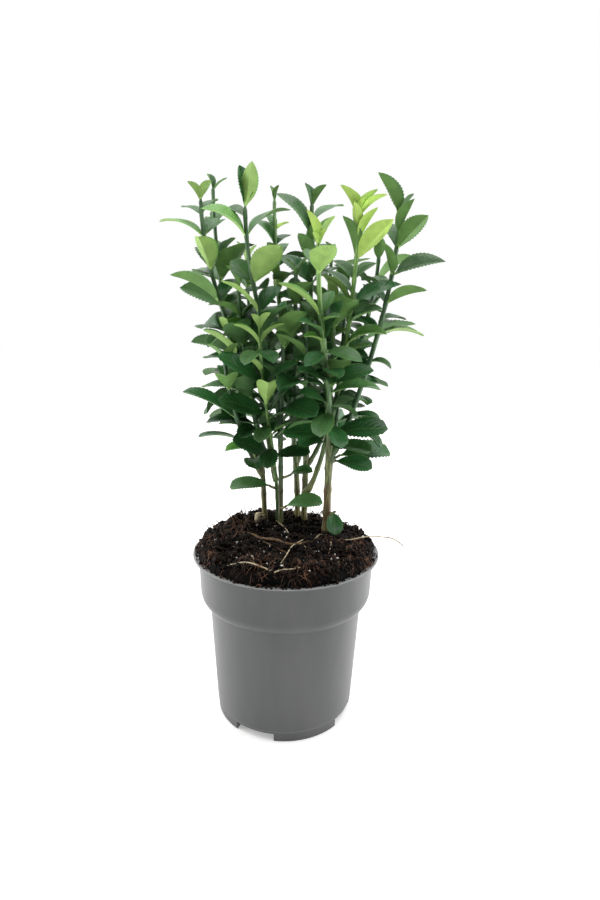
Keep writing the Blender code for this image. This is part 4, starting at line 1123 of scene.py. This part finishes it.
cane_blank = rod_blank(CANE_SIDES, CANE_RINGS)
cane_pieces = {}
for cane in CANES:
    path = paths[cane.number]
    whole = lengths_along(path)[-1]
    path = np.vstack([roots[cane.number], path])
    buried = lengths_along(path)[-1] - whole
    scars = sorted(held_seats.get(cane.number, []) + [mark for _, mark in pairs[cane.number]], reverse=True)
    while scars[-1] > SCAR_LOWEST:
        scars.append(scars[-1] - SCAR_SPACING)
    scars = np.array(scars)

    def radius_at(mark, turn):
        distance = max(0.0, mark - buried)
        radius = cane_radius(cane, distance / whole) * SLIM.get(cane.number, 1)
        if cane.parent:
            radius *= 1 + COLLAR_SWELL * exp(-distance / COLLAR_LENGTH)
        else:
            radius *= 1 + (FOOT_FLARE - 1) * max(0.0, 1 - distance / FLARE_LENGTH)
        radius *= 1 + NODE_SWELL * np.exp(-((distance - scars) / NODE_LENGTH) ** 2).max()
        spot = Vector((*polar(BARK_AROUND, turn, 0)[:2], distance / BARK_ALONG + cane.number))
        young = min(1.0, distance / CORNERS_FROM)
        radius *= 1 + CORNER * cos(4 * turn) * young
        radius *= 1 + BARK_RELIEF * noise.noise(spot) * (1 - BARK_SMOOTHER * young)
        closing = (whole - distance) / BUD_LENGTH
        if closing < 1:
            radius *= max(BUD_TIP, closing) ** 0.5
        return radius

    name = f"{'bough' if cane.parent else 'stem'}_{cane.number}"
    piece = limb_piece(f"{name}_bark", cane_blank, path, radius_at, YOUTH.get(cane.number, YOUTH_ELSE))
    keep(piece, "greener", np.full(len(cane_blank[0]), GREENER.get(cane.number, 0) * MM))
    cane_pieces[name] = piece
print("canes:", len(cane_pieces))

# %% [markdown]
# ### Young bark
#
# Spindle bark stays green for years. Up in the crown it is a waxy green with paler streaks,
# lighter still on the youngest tops; towards the soil it turns olive and tan, with brown
# streaks. The colour follows the height, shifted by a slow noise and by each cane's own
# measure of green. The streaks follow the cane, which the grain attribute measures.

# %% Bark material
GREENS = ((srgb("#27452f"), srgb("#4a6e4a")), (srgb("#5e8a45"), srgb("#9cc070")))  # dull and light
OLD_BARK = srgb("#7d7c4a")
OLD_STREAK = srgb("#634c2e")
OLD_PALE = srgb("#b9aa78")
STREAK_WIDTH = 0.9 * MM
STREAK_STRETCH = 0.09
STREAK_RANGE = (0.42, 0.6)
STREAK_DEPTH = 0.2 * MM
PALE_RANGE = (0.58, 0.72)
AGEING_PATCH = 9 * MM
AGEING_SHIFT = 40 * MM  # how far the patches move the colour up or down
GREEN_RANGE = (126 * MM, 185 * MM)  # heights, with half of that shift
LIGHT_RANGE = (200 * MM, 245 * MM)
LIGHT_LEAST = 0.25

bark, add = new_material("young_spindle_bark")
grain = add("Attribute", attribute_name="grain").outputs["Vector"]
greener = add("Attribute", attribute_name="greener").outputs["Fac"]
youth = add("Attribute", attribute_name="tint").outputs["Fac"]
place = add("TexCoord").outputs["Object"]
height = add("SeparateXYZ", [place]).outputs["Z"]
along = add("Mapping", {"Vector": grain, "Scale": (1, 1, STREAK_STRETCH)})
streaks = add("TexNoise", (along, 1 / STREAK_WIDTH, 3))
streak_share = add("MapRange", (streaks, *STREAK_RANGE))
pale_share = add("MapRange", (streaks, *PALE_RANGE))
old = add("Mix", (streak_share, OLD_STREAK, OLD_BARK), data_type="RGBA")
old_pale = add("Mix", (pale_share, old, OLD_PALE), data_type="RGBA")
dull, light = [add("Mix", (streak_share, *pair), data_type="RGBA") for pair in GREENS]
ageing = add("TexNoise", (place, 1 / AGEING_PATCH, 2))
raised = add("Math", (height, greener), operation="ADD")
shifted = add("Math", (ageing, AGEING_SHIFT, raised), operation="MULTIPLY_ADD")
up_share = add("MapRange", (shifted, *LIGHT_RANGE, LIGHT_LEAST))
light_share = add("Math", (youth, up_share), operation="MULTIPLY")
green = add("Mix", (light_share, dull, light), data_type="RGBA")
green_share = add("MapRange", (shifted, *GREEN_RANGE))
bark_colour = add("Mix", (green_share, old_pale, green), data_type="RGBA")
bark_bump = add("Bump", {"Height": streaks, "Strength": 0.5, "Distance": STREAK_DEPTH})
end_material(bark, {"Base Color": bark_colour, "Normal": bark_bump, "Roughness": 0.55})
for name, piece in cane_pieces.items():
    finish_piece(piece, "bark", [name], bark)

# %% [markdown]
# ## One leaf
#
# A spindle leaf is thick and leathery: a short stalk, a blade widest past its middle, a blunt
# tip and shallow teeth along the outer margin. It is cut out flat first, like a paper pattern:
# along it runs from 0 to 1 and across it from -1 to 1. Bending comes later, so that
# every copy can have its own arch and fold. The underside has half the strips of the upper
# face, because it is seen less, and each margin edge gets one more point for its tooth.

# %% Cut the leaf pattern
LEAF_STEPS = 16
UPPER_STRIPS = 4
TOOTHED_FROM = 0.26
STALK_TO = 0.13
STALK_FACES_TO = 0.10  # the middle of the last face with the stalk's finish
NEAR = 0.01


def between_strips(first, last):
    """Whether an edge runs along the middle of either half of the lower layer."""
    return max(first.z, last.z) < -0.5 and abs(abs(first.y) - 0.5) < NEAR and abs(first.y - last.y) < NEAR


def toothed(first, last):
    """Whether an edge lies on the margin, past its plain base."""
    on_margin = min(abs(first.y), abs(last.y)) > 1 - NEAR
    return on_margin and min(first.x, last.x) > TOOTHED_FROM - 1 / LEAF_STEPS


start_clean()
bpy.ops.mesh.primitive_grid_add(x_subdivisions=LEAF_STEPS, y_subdivisions=UPPER_STRIPS, size=2)
blank = bpy.context.object
set_mode("EDIT")
bpy.ops.transform.resize(value=(0.5, 1, 1))
bpy.ops.transform.translate(value=(0.5, 0, 0))
bpy.ops.mesh.duplicate()
bpy.ops.mesh.flip_normals()
bpy.ops.transform.translate(value=(0, 0, -1))
pick_edges(blank, between_strips)
bpy.ops.mesh.dissolve_edges(use_verts=True)
set_mode("OBJECT")
for vertex in blank.data.vertices:
    if abs(vertex.co.y) > 1 - NEAR:
        vertex.co.z = 0
    if vertex.co.x < NEAR or vertex.co.x > 1 - NEAR:
        vertex.co.yz = (0, 0)
pick_edges(blank, toothed)
bpy.ops.mesh.subdivide(number_cuts=1, ngon=True)
bpy.ops.mesh.select_all(action="SELECT")
bpy.ops.mesh.remove_doubles(threshold=NEAR)
pattern, leaf_faces = taken_from(blank)
leaf_slots = []
for face in leaf_faces:
    along, _, layer = pattern[face].mean(axis=0)
    leaf_slots.append(2 if along < STALK_FACES_TO else 0 if layer > -NEAR else 1)
print("leaf pattern:", len(pattern), "points,", len(leaf_faces), "faces")

# %% [markdown]
# ## Bending the leaf
#
# The blade keeps its length and turns evenly downwards, so its middle line is an arc that has
# a closed formula. Across it the margins rise above the midrib, each half swells a little, and
# a slow ripple keeps any two leaves from being alike. The teeth are deepest on old leaves. A
# leaf that is folded sharply keeps the width of its cloth, so it looks narrower from above.

# %% Bend one copy
LEAF_WIDTH_RATIO = 0.46
LEAF_FOLD = 0.16
ROOT_PAST_AXIS = 0.3 * MM
BLADE_FROM = 0.08
BLADE_THICK = 0.42 * MM
MIDRIB_THICK = 0.75 * MM
STALK_HALF = 0.65 * MM
STALK_PAST = 0.05  # the stalk runs on into the blade, and fades over the next share
STALK_FADE = 0.12
LEAST_ARCH = 0.05
RISING = 1 / 3  # the share of its arch that a leaf still rises
TOOTH_DEPTH = {"dark": 0.15, "mid": 0.13, "fresh": 0.09, "new": 0.07}  # of the half width
SWELL = 0.09
RIPPLE = 0.10
RIPPLES = 1.3  # waves in a leaf's length
BASE_TAPER = 0.85
BLUNT_TAPER = 0.5  # an old leaf, with a rounded end
ACUTE_TAPER = 1.0  # a young one, with a pointed end
Leaf = namedtuple("Leaf", "place length arch width fold ripple phase tone tint taper node")


def half_width(share, taper):
    """Half the blade's width along the leaf, as a part of its greatest."""
    t = np.clip((share - BLADE_FROM) / (1 - BLADE_FROM), 0, 1)
    widest = BASE_TAPER / (BASE_TAPER + taper)
    return (t / widest) ** BASE_TAPER * ((1 - t) / (1 - widest)) ** taper


def bent(leaf):
    along, across, layer = pattern.T
    arch = max(leaf.arch, LEAST_ARCH)
    heading = arch * (RISING - along)
    x = -ROOT_PAST_AXIS + leaf.length * (sin(arch * RISING) - np.sin(heading)) / arch
    z = leaf.length * (np.cos(heading) - cos(arch * RISING)) / arch
    half = half_width(along, leaf.taper) * leaf.length * leaf.width / 2
    stalk = np.clip((STALK_TO + STALK_PAST - along) / STALK_FADE, 0, 1)
    half = np.maximum(half, STALK_HALF * np.minimum(1, stalk * 2))
    half = np.where((along < NEAR) | (along > 1 - NEAR), 0, half)
    tooth = np.cos(2 * pi * LEAF_STEPS * along) * TOOTH_DEPTH[leaf.tone] / 2
    tooth = np.where((np.abs(across) > 1 - NEAR) & (along > TOOTHED_FROM), tooth, 0)
    folded = 1 / (1 + (2 * leaf.fold) ** 2) ** 0.5
    side = across * half * (1 - tooth) * (stalk + folded * (1 - stalk))
    lift = half * (2 * leaf.fold * np.abs(across) + SWELL * np.sin(pi * np.abs(across)))
    lift += half * leaf.ripple * across * np.sin(2 * pi * RIPPLES * along + leaf.phase)
    lift = lift * folded * (1 - stalk)
    lift += layer * (BLADE_THICK + (MIDRIB_THICK - BLADE_THICK) * (1 - along))
    flat = np.stack([x - np.sin(heading) * lift, side, z + np.cos(heading) * lift, np.ones(len(x))], axis=1)
    return (flat @ np.array(leaf.place).T)[:, :3]


# %% [markdown]
# ## Growing the leaves
#
# Leaves sit in opposite pairs, each pair a quarter turn from the last. Going down a cane they
# grow to full size, open out and start to droop, and their faces roll towards the light. A leaf
# that would meet a limb or a neighbour tries the next of a few nudges, and is left out if none
# of them is free. It is the rule of the solids with the same seed, so the masses agree.

# %% The growing rule
# Rows run from a cane's tip down. A nudge is a turn and a rise in degrees, and a share of the length.
LEAF_LENGTH = 32.0 * MM
LEAF_STATIONS = ((0.0, None), (0.36, 0.86), (0.72, 0.94))  # along the solid leaf, and its fullness
LEAF_GROWN = (0.0, 0.90, 1.0, 1.0, 0.97, 0.93, 0.89, 0.86, 0.84)
LEAF_RISE = (66, 40, 31, 30, 28, 24, 18, 11, 6, 3, 0)
LEAF_ARCH = radians(48)
LEAF_THICK = 0.75 * MM
STALK_WIDTH = 1.0 * MM
STALK_THICK = 0.8 * MM
PAIR_OFFSET = 0.5 * MM
TURN_JITTER = radians(19)
RISE_JITTER = radians(9)
ROLL_JITTER = radians(22)
LENGTH_JITTER = 0.12
ARCH_RANGE = (0.6, 1.4)
FOLD_RANGE = (0.5, 1.6)
CLEAR = 0.4 * MM  # between a new leaf and all that is there
CROWN_AXIS = (3 * MM, 18 * MM)
ROLL_OUT = (0, 5, 12, 22, 30, 36, 40, 42)
DROOP_OUT = (0, 0, 4, 8, 12, 14, 16, 16)
NUDGES = ((0, 0, 1.0), (14, 4, 1.0), (-14, 4, 1.0), (0, 12, 1.0), (0, -12, 1.0), (26, 0, 1.0),
          (-26, 0, 1.0), (20, -16, 0.95), (-20, -16, 0.95), (38, 8, 0.95), (-38, 8, 0.95), (0, 24, 0.9),
          (50, -6, 0.85), (-50, -6, 0.85), (0, -22, 0.8), (0, 30, 0.7))


def by_rank(values, rank):
    return values[min(rank, len(values) - 1)]


def outward_at(point):
    return Vector((point.x - CROWN_AXIS[0], point.y - CROWN_AXIS[1], 0)).normalized()


def heading_to(azimuth, rise):
    return Vector((cos(azimuth) * cos(rise), sin(azimuth) * cos(rise), sin(rise)))


def leaf_place(centre, azimuth, rise, roll):
    """A frame with +X along the leaf and +Z out of its upper face."""
    ahead = heading_to(azimuth, rise)
    across = Vector((-sin(azimuth), cos(azimuth), 0))
    turned = Matrix((ahead, across, ahead.cross(across))).transposed().to_4x4()
    return Matrix.Translation(centre) @ turned @ Matrix.Rotation(roll, 4, "X")


def leaf_shell(place, length, arch, extra=0.0):
    """The plain leaf of the solids, which tells whether a place is free."""
    rings = []
    x, z, covered, heading = -ROOT_PAST_AXIS, 0.0, 0.0, arch / 2
    for share, fullness in LEAF_STATIONS:
        x += (share - covered) * length * cos(heading)
        z += (share - covered) * length * sin(heading)
        covered = share
        heading -= arch / len(LEAF_STATIONS)
        half = length * LEAF_WIDTH_RATIO / 2 * fullness if fullness else STALK_WIDTH / 2
        thick = (LEAF_THICK if fullness else STALK_THICK) + 2 * extra
        lift = half * 2 * LEAF_FOLD if fullness else 0.0
        half += extra
        rings += [(x, half, z + lift), (x, 0, z + thick / 2), (x, -half, z + lift), (x, 0, z - thick / 2)]
    step = (1.0 - covered) * length + extra
    rings.append((x + step * cos(heading), 0, z + step * sin(heading)))
    tip = len(rings) - 1
    faces = [(0, 1, 2, 3)]
    for ring in range(0, tip - 4, 4):
        for side, after in ((0, 1), (1, 2), (2, 3), (3, 0)):
            faces.append((ring + side, ring + side + 4, ring + after + 4, ring + after))
    faces += [(tip - 4 + side, tip, tip - 4 + (side + 1) % 4) for side in range(4)]
    return BVHTree.FromPolygons([place @ Vector(point) for point in rings], faces)


limb_trees = {number: BVHTree.FromPolygons(*surface_of(piece))
              for number, piece in enumerate(cane_pieces.values(), 1)}
taken = []


def try_places(cane, rank, seat, azimuth, rise, roll, size, arch):
    """The first free place among the nudges, or None: the leaf's frame and its length."""
    for turn_by, rise_by, size_by in NUDGES:
        place = leaf_place(seat, azimuth + radians(turn_by), rise + radians(rise_by), roll)
        shell = leaf_shell(place, size * size_by, arch, CLEAR)
        if any(shell.overlap(tree) for number, tree in limb_trees.items() if number != cane):
            continue
        if any(shell.overlap(tree) for key, tree in taken if key != (cane, rank)):
            continue
        taken.append(((cane, rank), leaf_shell(place, size * size_by, arch)))
        return place, size * size_by
    return None


print("limbs to keep clear of:", len(limb_trees))

# %% The list of leaves
SEED = 21
WIDTHS = {"dark": 0.50, "mid": 0.51, "fresh": 0.54, "new": 0.47}
WIDTH_RANGE = (0.92, 1.08)
OLD_BELOW = 175 * MM
YOUNG_ABOVE = 235 * MM

looks = random.Random(SEED + 1)
leaves = []


def aimed(leaf):
    """Azimuth, rise, roll, length and arch of a leaf, from where its tip lies and how it is turned."""
    tip = Vector((leaf.right, leaf.back, leaf.up)) * MM
    arch, face = radians(leaf.arch), radians(leaf.face)
    roll = face if tip.x > 0 else -face
    rise = asin(tip.z / tip.length) + arch * (0.5 - RISING)
    return atan2(tip.y, tip.x), rise, roll, tip.length * arch / 2 / sin(arch / 2), arch


def add_leaf(place, length, arch, fold, tone, node, painted_shade=0.0, broad=1.0):
    """Adds a leaf with its own width and ripple to the list of leaves to draw."""
    youth = min(max((place.translation.z - OLD_BELOW) / (YOUNG_ABOVE - OLD_BELOW), 0), 1)
    taper = BLUNT_TAPER + (ACUTE_TAPER - BLUNT_TAPER) * youth
    width = WIDTHS[tone] * broad * looks.uniform(*WIDTH_RANGE)
    ripple = RIPPLE * looks.uniform(-1, 1)
    phase = looks.uniform(0, 2 * pi)
    # a heart leaf's tint is lowered here by its painted shade
    tint = looks.random() + painted_shade
    leaves.append(Leaf(place, length, arch, width, fold, ripple, phase, tone, tint, taper, node))


def settle(cane, rank, seat, pose, tone, fold=None, painted_shade=0.0):
    """Adds a leaf to a cane, if any of its places is free. It may have a fold of its own."""
    found = try_places(cane, rank, seat, *pose)
    if found:
        fold = fold or LEAF_FOLD * looks.uniform(*FOLD_RANGE)
        add_leaf(*found, pose[-1], fold, tone, f"foliage_{cane}", painted_shade)
    return found


print("seed:", SEED)

# %% [markdown]
# ### Side shoots near the soil
#
# A few short twigs low on the stems carry one leaf each. Their leaves are set one by one too, and
# are drawn a little longer than their solids. They come first, so that the others make room.

# %% Side shoots
# A twig has a height on its parent, a direction in degrees and a length. Then comes its leaf, as above.
Sprig = namedtuple("Sprig", "number parent height azimuth twig right back up arch face tone")
SPRIGS = (
    Sprig(1, 3, 114, -60, 5, 20, -5, 3, 50, 30, "mid"),
    Sprig(2, 6, 115, -45, 4, 0.5, -12, -8, 30, 0, "dark"),
    Sprig(3, 3, 132, -30, 6, 12.5, -5, 3, 50, 25, "mid"),
    Sprig(4, 6, 148, 0, 4, 27, 1, 1, 35, 30, "dark"),
    Sprig(5, 6, 146, -55, 4, 18, -8, -2, 30, 35, "dark"),
    Sprig(6, 2, 125, 235, 6, -22, -2, -1.3, 45, 30, "mid"),
)
SPRIG_RADIUS = 1.0 * MM
SPRIG_RISE = radians(25)
SPRIG_SEAT = 0.6
SPRIG_GROWN = 1.12  # how much longer the leaf is drawn than its solid
SPRIG_BROAD = {1: 0.9, 2: 1.25, 6: 0.9}  # and how much broader
TWIG_SIDES = 10
TWIG_RINGS = 12
TWIG_TIP = 0.7  # a twig's radius at its tip, as a share, and what is added at its base
TWIG_BASE = 0.5
TWIG_SWELL_LENGTH = 2 * MM


def twig_radius(mark, turn):
    return SPRIG_RADIUS * (TWIG_TIP + TWIG_BASE * exp(-mark / TWIG_SWELL_LENGTH))


twig_blank = rod_blank(TWIG_SIDES, TWIG_RINGS)
for sprig in SPRIGS:
    name = f"sprig_{sprig.number}"
    path = paths[sprig.parent]
    distance = distance_at_height(path, sprig.height * MM)
    centre = point_at(path, distance)
    bark_radius = cane_radius(CANES[sprig.parent - 1], distance / lengths_along(path)[-1])
    way = heading_to(radians(sprig.azimuth), SPRIG_RISE)
    start = centre + way * (bark_radius + GAP + SPRIG_RADIUS * sin(SPRIG_RISE)) / cos(SPRIG_RISE)
    end = start + way * sprig.twig * MM
    middle = centre.lerp(end, 0.5) - Vector((0, 0, SPRIG_RADIUS / 2))
    route = smoothed([np.array(point) for point in (centre, middle, end)])
    piece = limb_piece(f"{name}_twig", twig_blank, route, twig_radius, YOUTH_ELSE)
    finish_piece(piece, "bark", [name], bark)
    azimuth, rise, roll, size, arch = aimed(sprig)
    place = leaf_place(start.lerp(end, SPRIG_SEAT), azimuth, rise, roll)
    broad = SPRIG_BROAD.get(sprig.number, 1)
    add_leaf(place, size * SPRIG_GROWN, arch, LEAF_FOLD, sprig.tone, name, 0.0, broad)
    taken.append(((name, 0), leaf_shell(place, size, arch)))

# %% Set the held leaves
left_out = []
ranks = {}


def hold(leaf):
    """Sets one leaf of a table. The next ones at the same height sit a little higher each."""
    path = paths[leaf.cane]
    distance = distance_at_height(path, leaf.height * MM)
    level = (leaf.cane, round(leaf.height))
    ranks[level] = ranks.get(level, -1) + 1
    seat = point_at(path, distance) + way_at(path, distance) * PAIR_OFFSET * ranks[level]
    if not settle(leaf.cane, level, seat, aimed(leaf), leaf.tone, leaf.fold):
        left_out.append(leaf[:5])


for leaf in HELD:
    hold(leaf)
print("held leaves left out:", left_out)

# %% Grow the others, cane by cane
TONE_RUNS = {  # from a cane's tip down
    "new": ("new", "new", "new", "fresh", "mid", "mid", "dark"),
    "fresh": ("fresh", "mid", "fresh", "mid", "dark"),
    "mid": ("fresh", "mid", "mid", "mid", "dark"),
    "dark": ("mid", "mid", "dark"),
}

chance = random.Random(SEED)
for cane in CANES:
    path = paths[cane.number]
    for rank, mark in pairs[cane.number]:
        centre, direction = point_at(path, mark), way_at(path, mark)
        rise = radians(by_rank(LEAF_RISE, rank))
        length = LEAF_LENGTH * by_rank(LEAF_GROWN, rank) or cane.crest * MM
        outward = outward_at(centre)
        for half in (0, 1):
            azimuth = radians(cane.turn) + pi / 2 * rank + pi * half
            azimuth += chance.uniform(-TURN_JITTER, TURN_JITTER)
            own_rise = rise + chance.uniform(-RISE_JITTER, RISE_JITTER)
            ahead = Vector((cos(azimuth), sin(azimuth), 0))
            own_rise -= radians(by_rank(DROOP_OUT, rank)) * ahead.dot(outward)
            roll = chance.uniform(-ROLL_JITTER, ROLL_JITTER)
            roll -= radians(by_rank(ROLL_OUT, rank)) * ahead.cross(outward).z
            size = length * (1 + chance.uniform(-LENGTH_JITTER, LENGTH_JITTER))
            arch = LEAF_ARCH * chance.uniform(*ARCH_RANGE)
            seat = centre + direction * PAIR_OFFSET * half
            tone = by_rank(TONE_RUNS[cane.tone], rank)
            settle(cane.number, rank, seat, (azimuth, own_rise, roll, size, arch), tone)
print("leaves:", len(leaves))

# %% [markdown]
# ### The heart of the crown
#
# Inside the crown the leaves are so dense that hardly a stem shows. The solids leave these out,
# because the crown's outline doesn't need them. Here darker leaves point inwards from each shoot,
# further darkened by a painted shade for the shadow inside the crown, and a few more hang before
# the front stems or stand at the crests. They give way as well.

# %% Leaves that only the scene has
APRON = held_leaves({
    6: [(194, 3, -20, -11, 35, 0, 0.15, "dark"), (176, -5, -19, -10, 35, 0, 0.15, "mid"),
        (169, 6, -19, -9, 35, 0, 0.15, "dark")],
    2: [(166, 8, -17, -9, 35, 0, 0.15, "mid"), (152, -6, -17, -9, 35, 0, 0.15, "dark")],
    8: [(268, -3, -7, 15, 15, 0, 0.4, "new"), (264, 8, -6, 17, 15, 0, 0.4, "new")],
    9: [(268, 6, -9, 17, 20, 0, 0.4, "mid")],
    5: [(262, 3, -8, 14, 20, 0, 0.4, "mid")],
    4: [(246, -9, -9, 12, 30, 0, 0.3, "fresh")],
})
HEART_SEED = 5
HEART_SPACING = 6.0 * MM
HEART_BELOW_TIP = 36 * MM  # the crests stay open
HEART_LENGTH = (21, 29)  # millimetres
HEART_RISE = (-5, 35)  # degrees
HEART_TURN = 80  # either way from the crown's middle
HEART_FRONT = 0.3  # how far such a leaf of a front cane may point to the front
FRONT_CANES = (1, 2, 6, 8, 9)
# a painted shade for the shadow inside the crown, taken off the tint
HEART_PAINTED_SHADE = -0.3  # its tint: darker than any other leaf
HEART_MID_ABOVE = 205 * MM  # from here up, this share of them is of the middle tone
HEART_MID_SHARE = 0.5

for leaf in APRON:
    hold(leaf)
print("left out of both tables:", left_out)
chance = random.Random(HEART_SEED)
for cane in CANES:
    path = paths[cane.number]
    mark = distance_at_height(path, cane.leafy * MM) + LOWEST_PAIR
    while mark < lengths_along(path)[-1] - HEART_BELOW_TIP:
        seat = point_at(path, mark)
        inward = -outward_at(seat)
        azimuth = atan2(inward.y, inward.x) + radians(chance.uniform(-HEART_TURN, HEART_TURN))
        rise = radians(chance.uniform(*HEART_RISE))
        roll = chance.uniform(-ROLL_JITTER, ROLL_JITTER)
        size = chance.uniform(*HEART_LENGTH) * MM
        arch = LEAF_ARCH * chance.uniform(*ARCH_RANGE)
        tone = "mid" if seat.z > HEART_MID_ABOVE and chance.random() < HEART_MID_SHARE else "dark"
        if cane.number not in FRONT_CANES or sin(azimuth) > -HEART_FRONT:
            pose = (azimuth, rise, roll, size, arch)
            settle(cane.number, ("heart", mark), seat, pose, tone, painted_shade=HEART_PAINTED_SHADE)
        mark += HEART_SPACING
print("leaves with the heart:", len(leaves))

# %% [markdown]
# ### Leaf surfaces
#
# A leaf's upper face has a thick clear cuticle: it gives a soft grey sheen over dark green,
# with a pale midrib, faint side veins and fine wrinkles, and a pale band painted along the margin
# as the highlight that its edge catches. The underside is dull and paler. Young leaves are
# thinner, yellower and duller. Each tone is its own piece with three finishes: upper face,
# underside and stalk. The midrib, the veins and the painted margin highlight follow the flat
# leaf pattern, which is kept as a UV map, and the blotches follow the place.

# %% Leaf materials
UPPER = {"dark": "#2e5f32", "mid": "#487240", "fresh": "#659a44", "new": "#aed556"}
UNDER = {"dark": "#557a4a", "mid": "#668c4c", "fresh": "#8fb062", "new": "#b6d56c"}
STALK = {"dark": "#7fa55c", "mid": "#8fb566", "fresh": "#a3c873", "new": "#bddb80"}
GLOSS = {"dark": 0.3, "mid": 0.34, "fresh": 0.4, "new": 0.45}  # the roughness of the cuticle
RIB = (0.012, 0.045, 0.25, 0)  # from and to, in leaf widths, and the stalk's colour at either
# a pale band painted along the margin as its highlight, in the stalk's colour
MARGIN_HIGHLIGHT = (0.44, 0.5, 0, 0.3)
VEINS = 9  # side veins in the length of a leaf
VEIN_SWEEP = 0.7  # how far they lean towards the tip
VEIN_LIGHT = 0.07
VEIN_RELIEF = 0.08  # their height next to the wrinkles
WRINKLE = 3.5 * MM
WRINKLE_DEPTH = 0.5 * MM
BLOTCH = 6 * MM
# the low end of the brightness carries the heart leaves' painted shade
UPPER_VALUES = (0, 1.7, 0.55, 1.5)  # blotch and tint together, and the brightness that they give
UNDER_VALUES = (0.3, 0.7, 0.85, 1.15)


def leaf_upper(tone):
    leaf, add = new_material(f"waxy_leaf_face_{tone}")
    along, across, _ = add("SeparateXYZ", [add("UVMap", uv_map="leaf")]).outputs
    middle = add("Math", (across, 0.5), operation="SUBTRACT")
    away = add("Math", [middle], operation="ABSOLUTE")
    rib = add("MapRange", (away, *RIB))
    # the margin is lightened by a painted highlight
    margin = add("MapRange", (away, *MARGIN_HIGHLIGHT))
    rib_and_margin_highlight = add("Math", (rib, margin), operation="ADD")
    swept = add("Math", (away, -VEIN_SWEEP, along), operation="MULTIPLY_ADD")
    wave = add("Math", (swept, 2 * pi * VEINS), operation="MULTIPLY")
    veins = add("Math", [wave], operation="SINE")
    place = add("TexCoord").outputs["Object"]
    blotches = add("TexNoise", (place, 1 / BLOTCH, 4))
    # a leaf's own random tone, lowered by a painted shade in the heart of the crown
    tint = add("Attribute", attribute_name="tint").outputs["Fac"]
    both = add("Math", (blotches, tint), operation="ADD")
    veined = add("Math", (veins, VEIN_LIGHT, both), operation="MULTIPLY_ADD")
    value = add("MapRange", (veined, *UPPER_VALUES))
    varied = add("HueSaturation", {"Color": srgb(UPPER[tone]), "Value": value})
    colour = add("Mix", (rib_and_margin_highlight, varied, srgb(STALK[tone])), data_type="RGBA")
    wrinkles = add("TexNoise", (place, 1 / WRINKLE, 2))
    relief = add("Math", (veins, VEIN_RELIEF, wrinkles), operation="MULTIPLY_ADD")
    quilted = add("Bump", {"Height": relief, "Strength": 0.7, "Distance": WRINKLE_DEPTH})
    end_material(leaf, {"Base Color": colour, "Normal": quilted, "Roughness": GLOSS[tone], "IOR": 1.45,
                        "Specular IOR Level": 0.5})
    return leaf


def leaf_dull(name, colour):
    """The underside or the stalk."""
    leaf, add = new_material(name)
    place = add("TexCoord").outputs["Object"]
    blotches = add("TexNoise", (place, 1 / BLOTCH, 3))
    value = add("MapRange", (blotches, *UNDER_VALUES))
    varied = add("HueSaturation", {"Color": srgb(colour), "Value": value})
    end_material(leaf, {"Base Color": varied, "Roughness": 0.6, "Specular IOR Level": 0.2})
    return leaf


print("leaf tones:", list(UPPER))

# %% One piece of leaves for each tone
SLOTS = {"dark": "leaf_dark", "mid": "leaf_mid", "fresh": "leaf_fresh", "new": "leaf_fresh"}
CREASE = radians(60)

corners = np.concatenate(leaf_faces)
leaf_map = np.stack([pattern[corners, 0], pattern[corners, 1] / 2 + 0.5], axis=1)
for tone, slot in SLOTS.items():
    chosen = [leaf for leaf in leaves if leaf.tone == tone]
    piece = joined_piece(f"leaves_{tone}", [bent(leaf) for leaf in chosen], leaf_faces,
                         [leaf.tint for leaf in chosen])
    mesh = piece.data
    mesh.polygons.foreach_set("material_index", leaf_slots * len(chosen))
    flat = mesh.uv_layers.new(name="leaf")
    flat.data.foreach_set("uv", np.tile(leaf_map, (len(chosen), 1)).astype(np.float32).ravel())
    mesh.shade_smooth()
    mesh.set_sharp_from_angle(angle=CREASE)
    finish_piece(piece, slot, sorted({leaf.node for leaf in chosen}), leaf_upper(tone),
                 leaf_dull(f"dull_leaf_underside_{tone}", UNDER[tone]),
                 leaf_dull(f"green_leaf_stalk_{tone}", STALK[tone]))

# %% [markdown]
# ## Sizes
#
# Both boxes are printed, the solids' and the dressed plant's, whose leaves may stand a little
# proud of the other. The dressed plant has to stay inside the solids' box, apart from leaves
# that may stand a little proud.

# %% Print the sizes
visual_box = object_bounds()
for label, box in (("solids", cad_box), ("dressed", visual_box)):
    print(label, [round(value / MM, 1) for corner in box for value in corner], "mm")
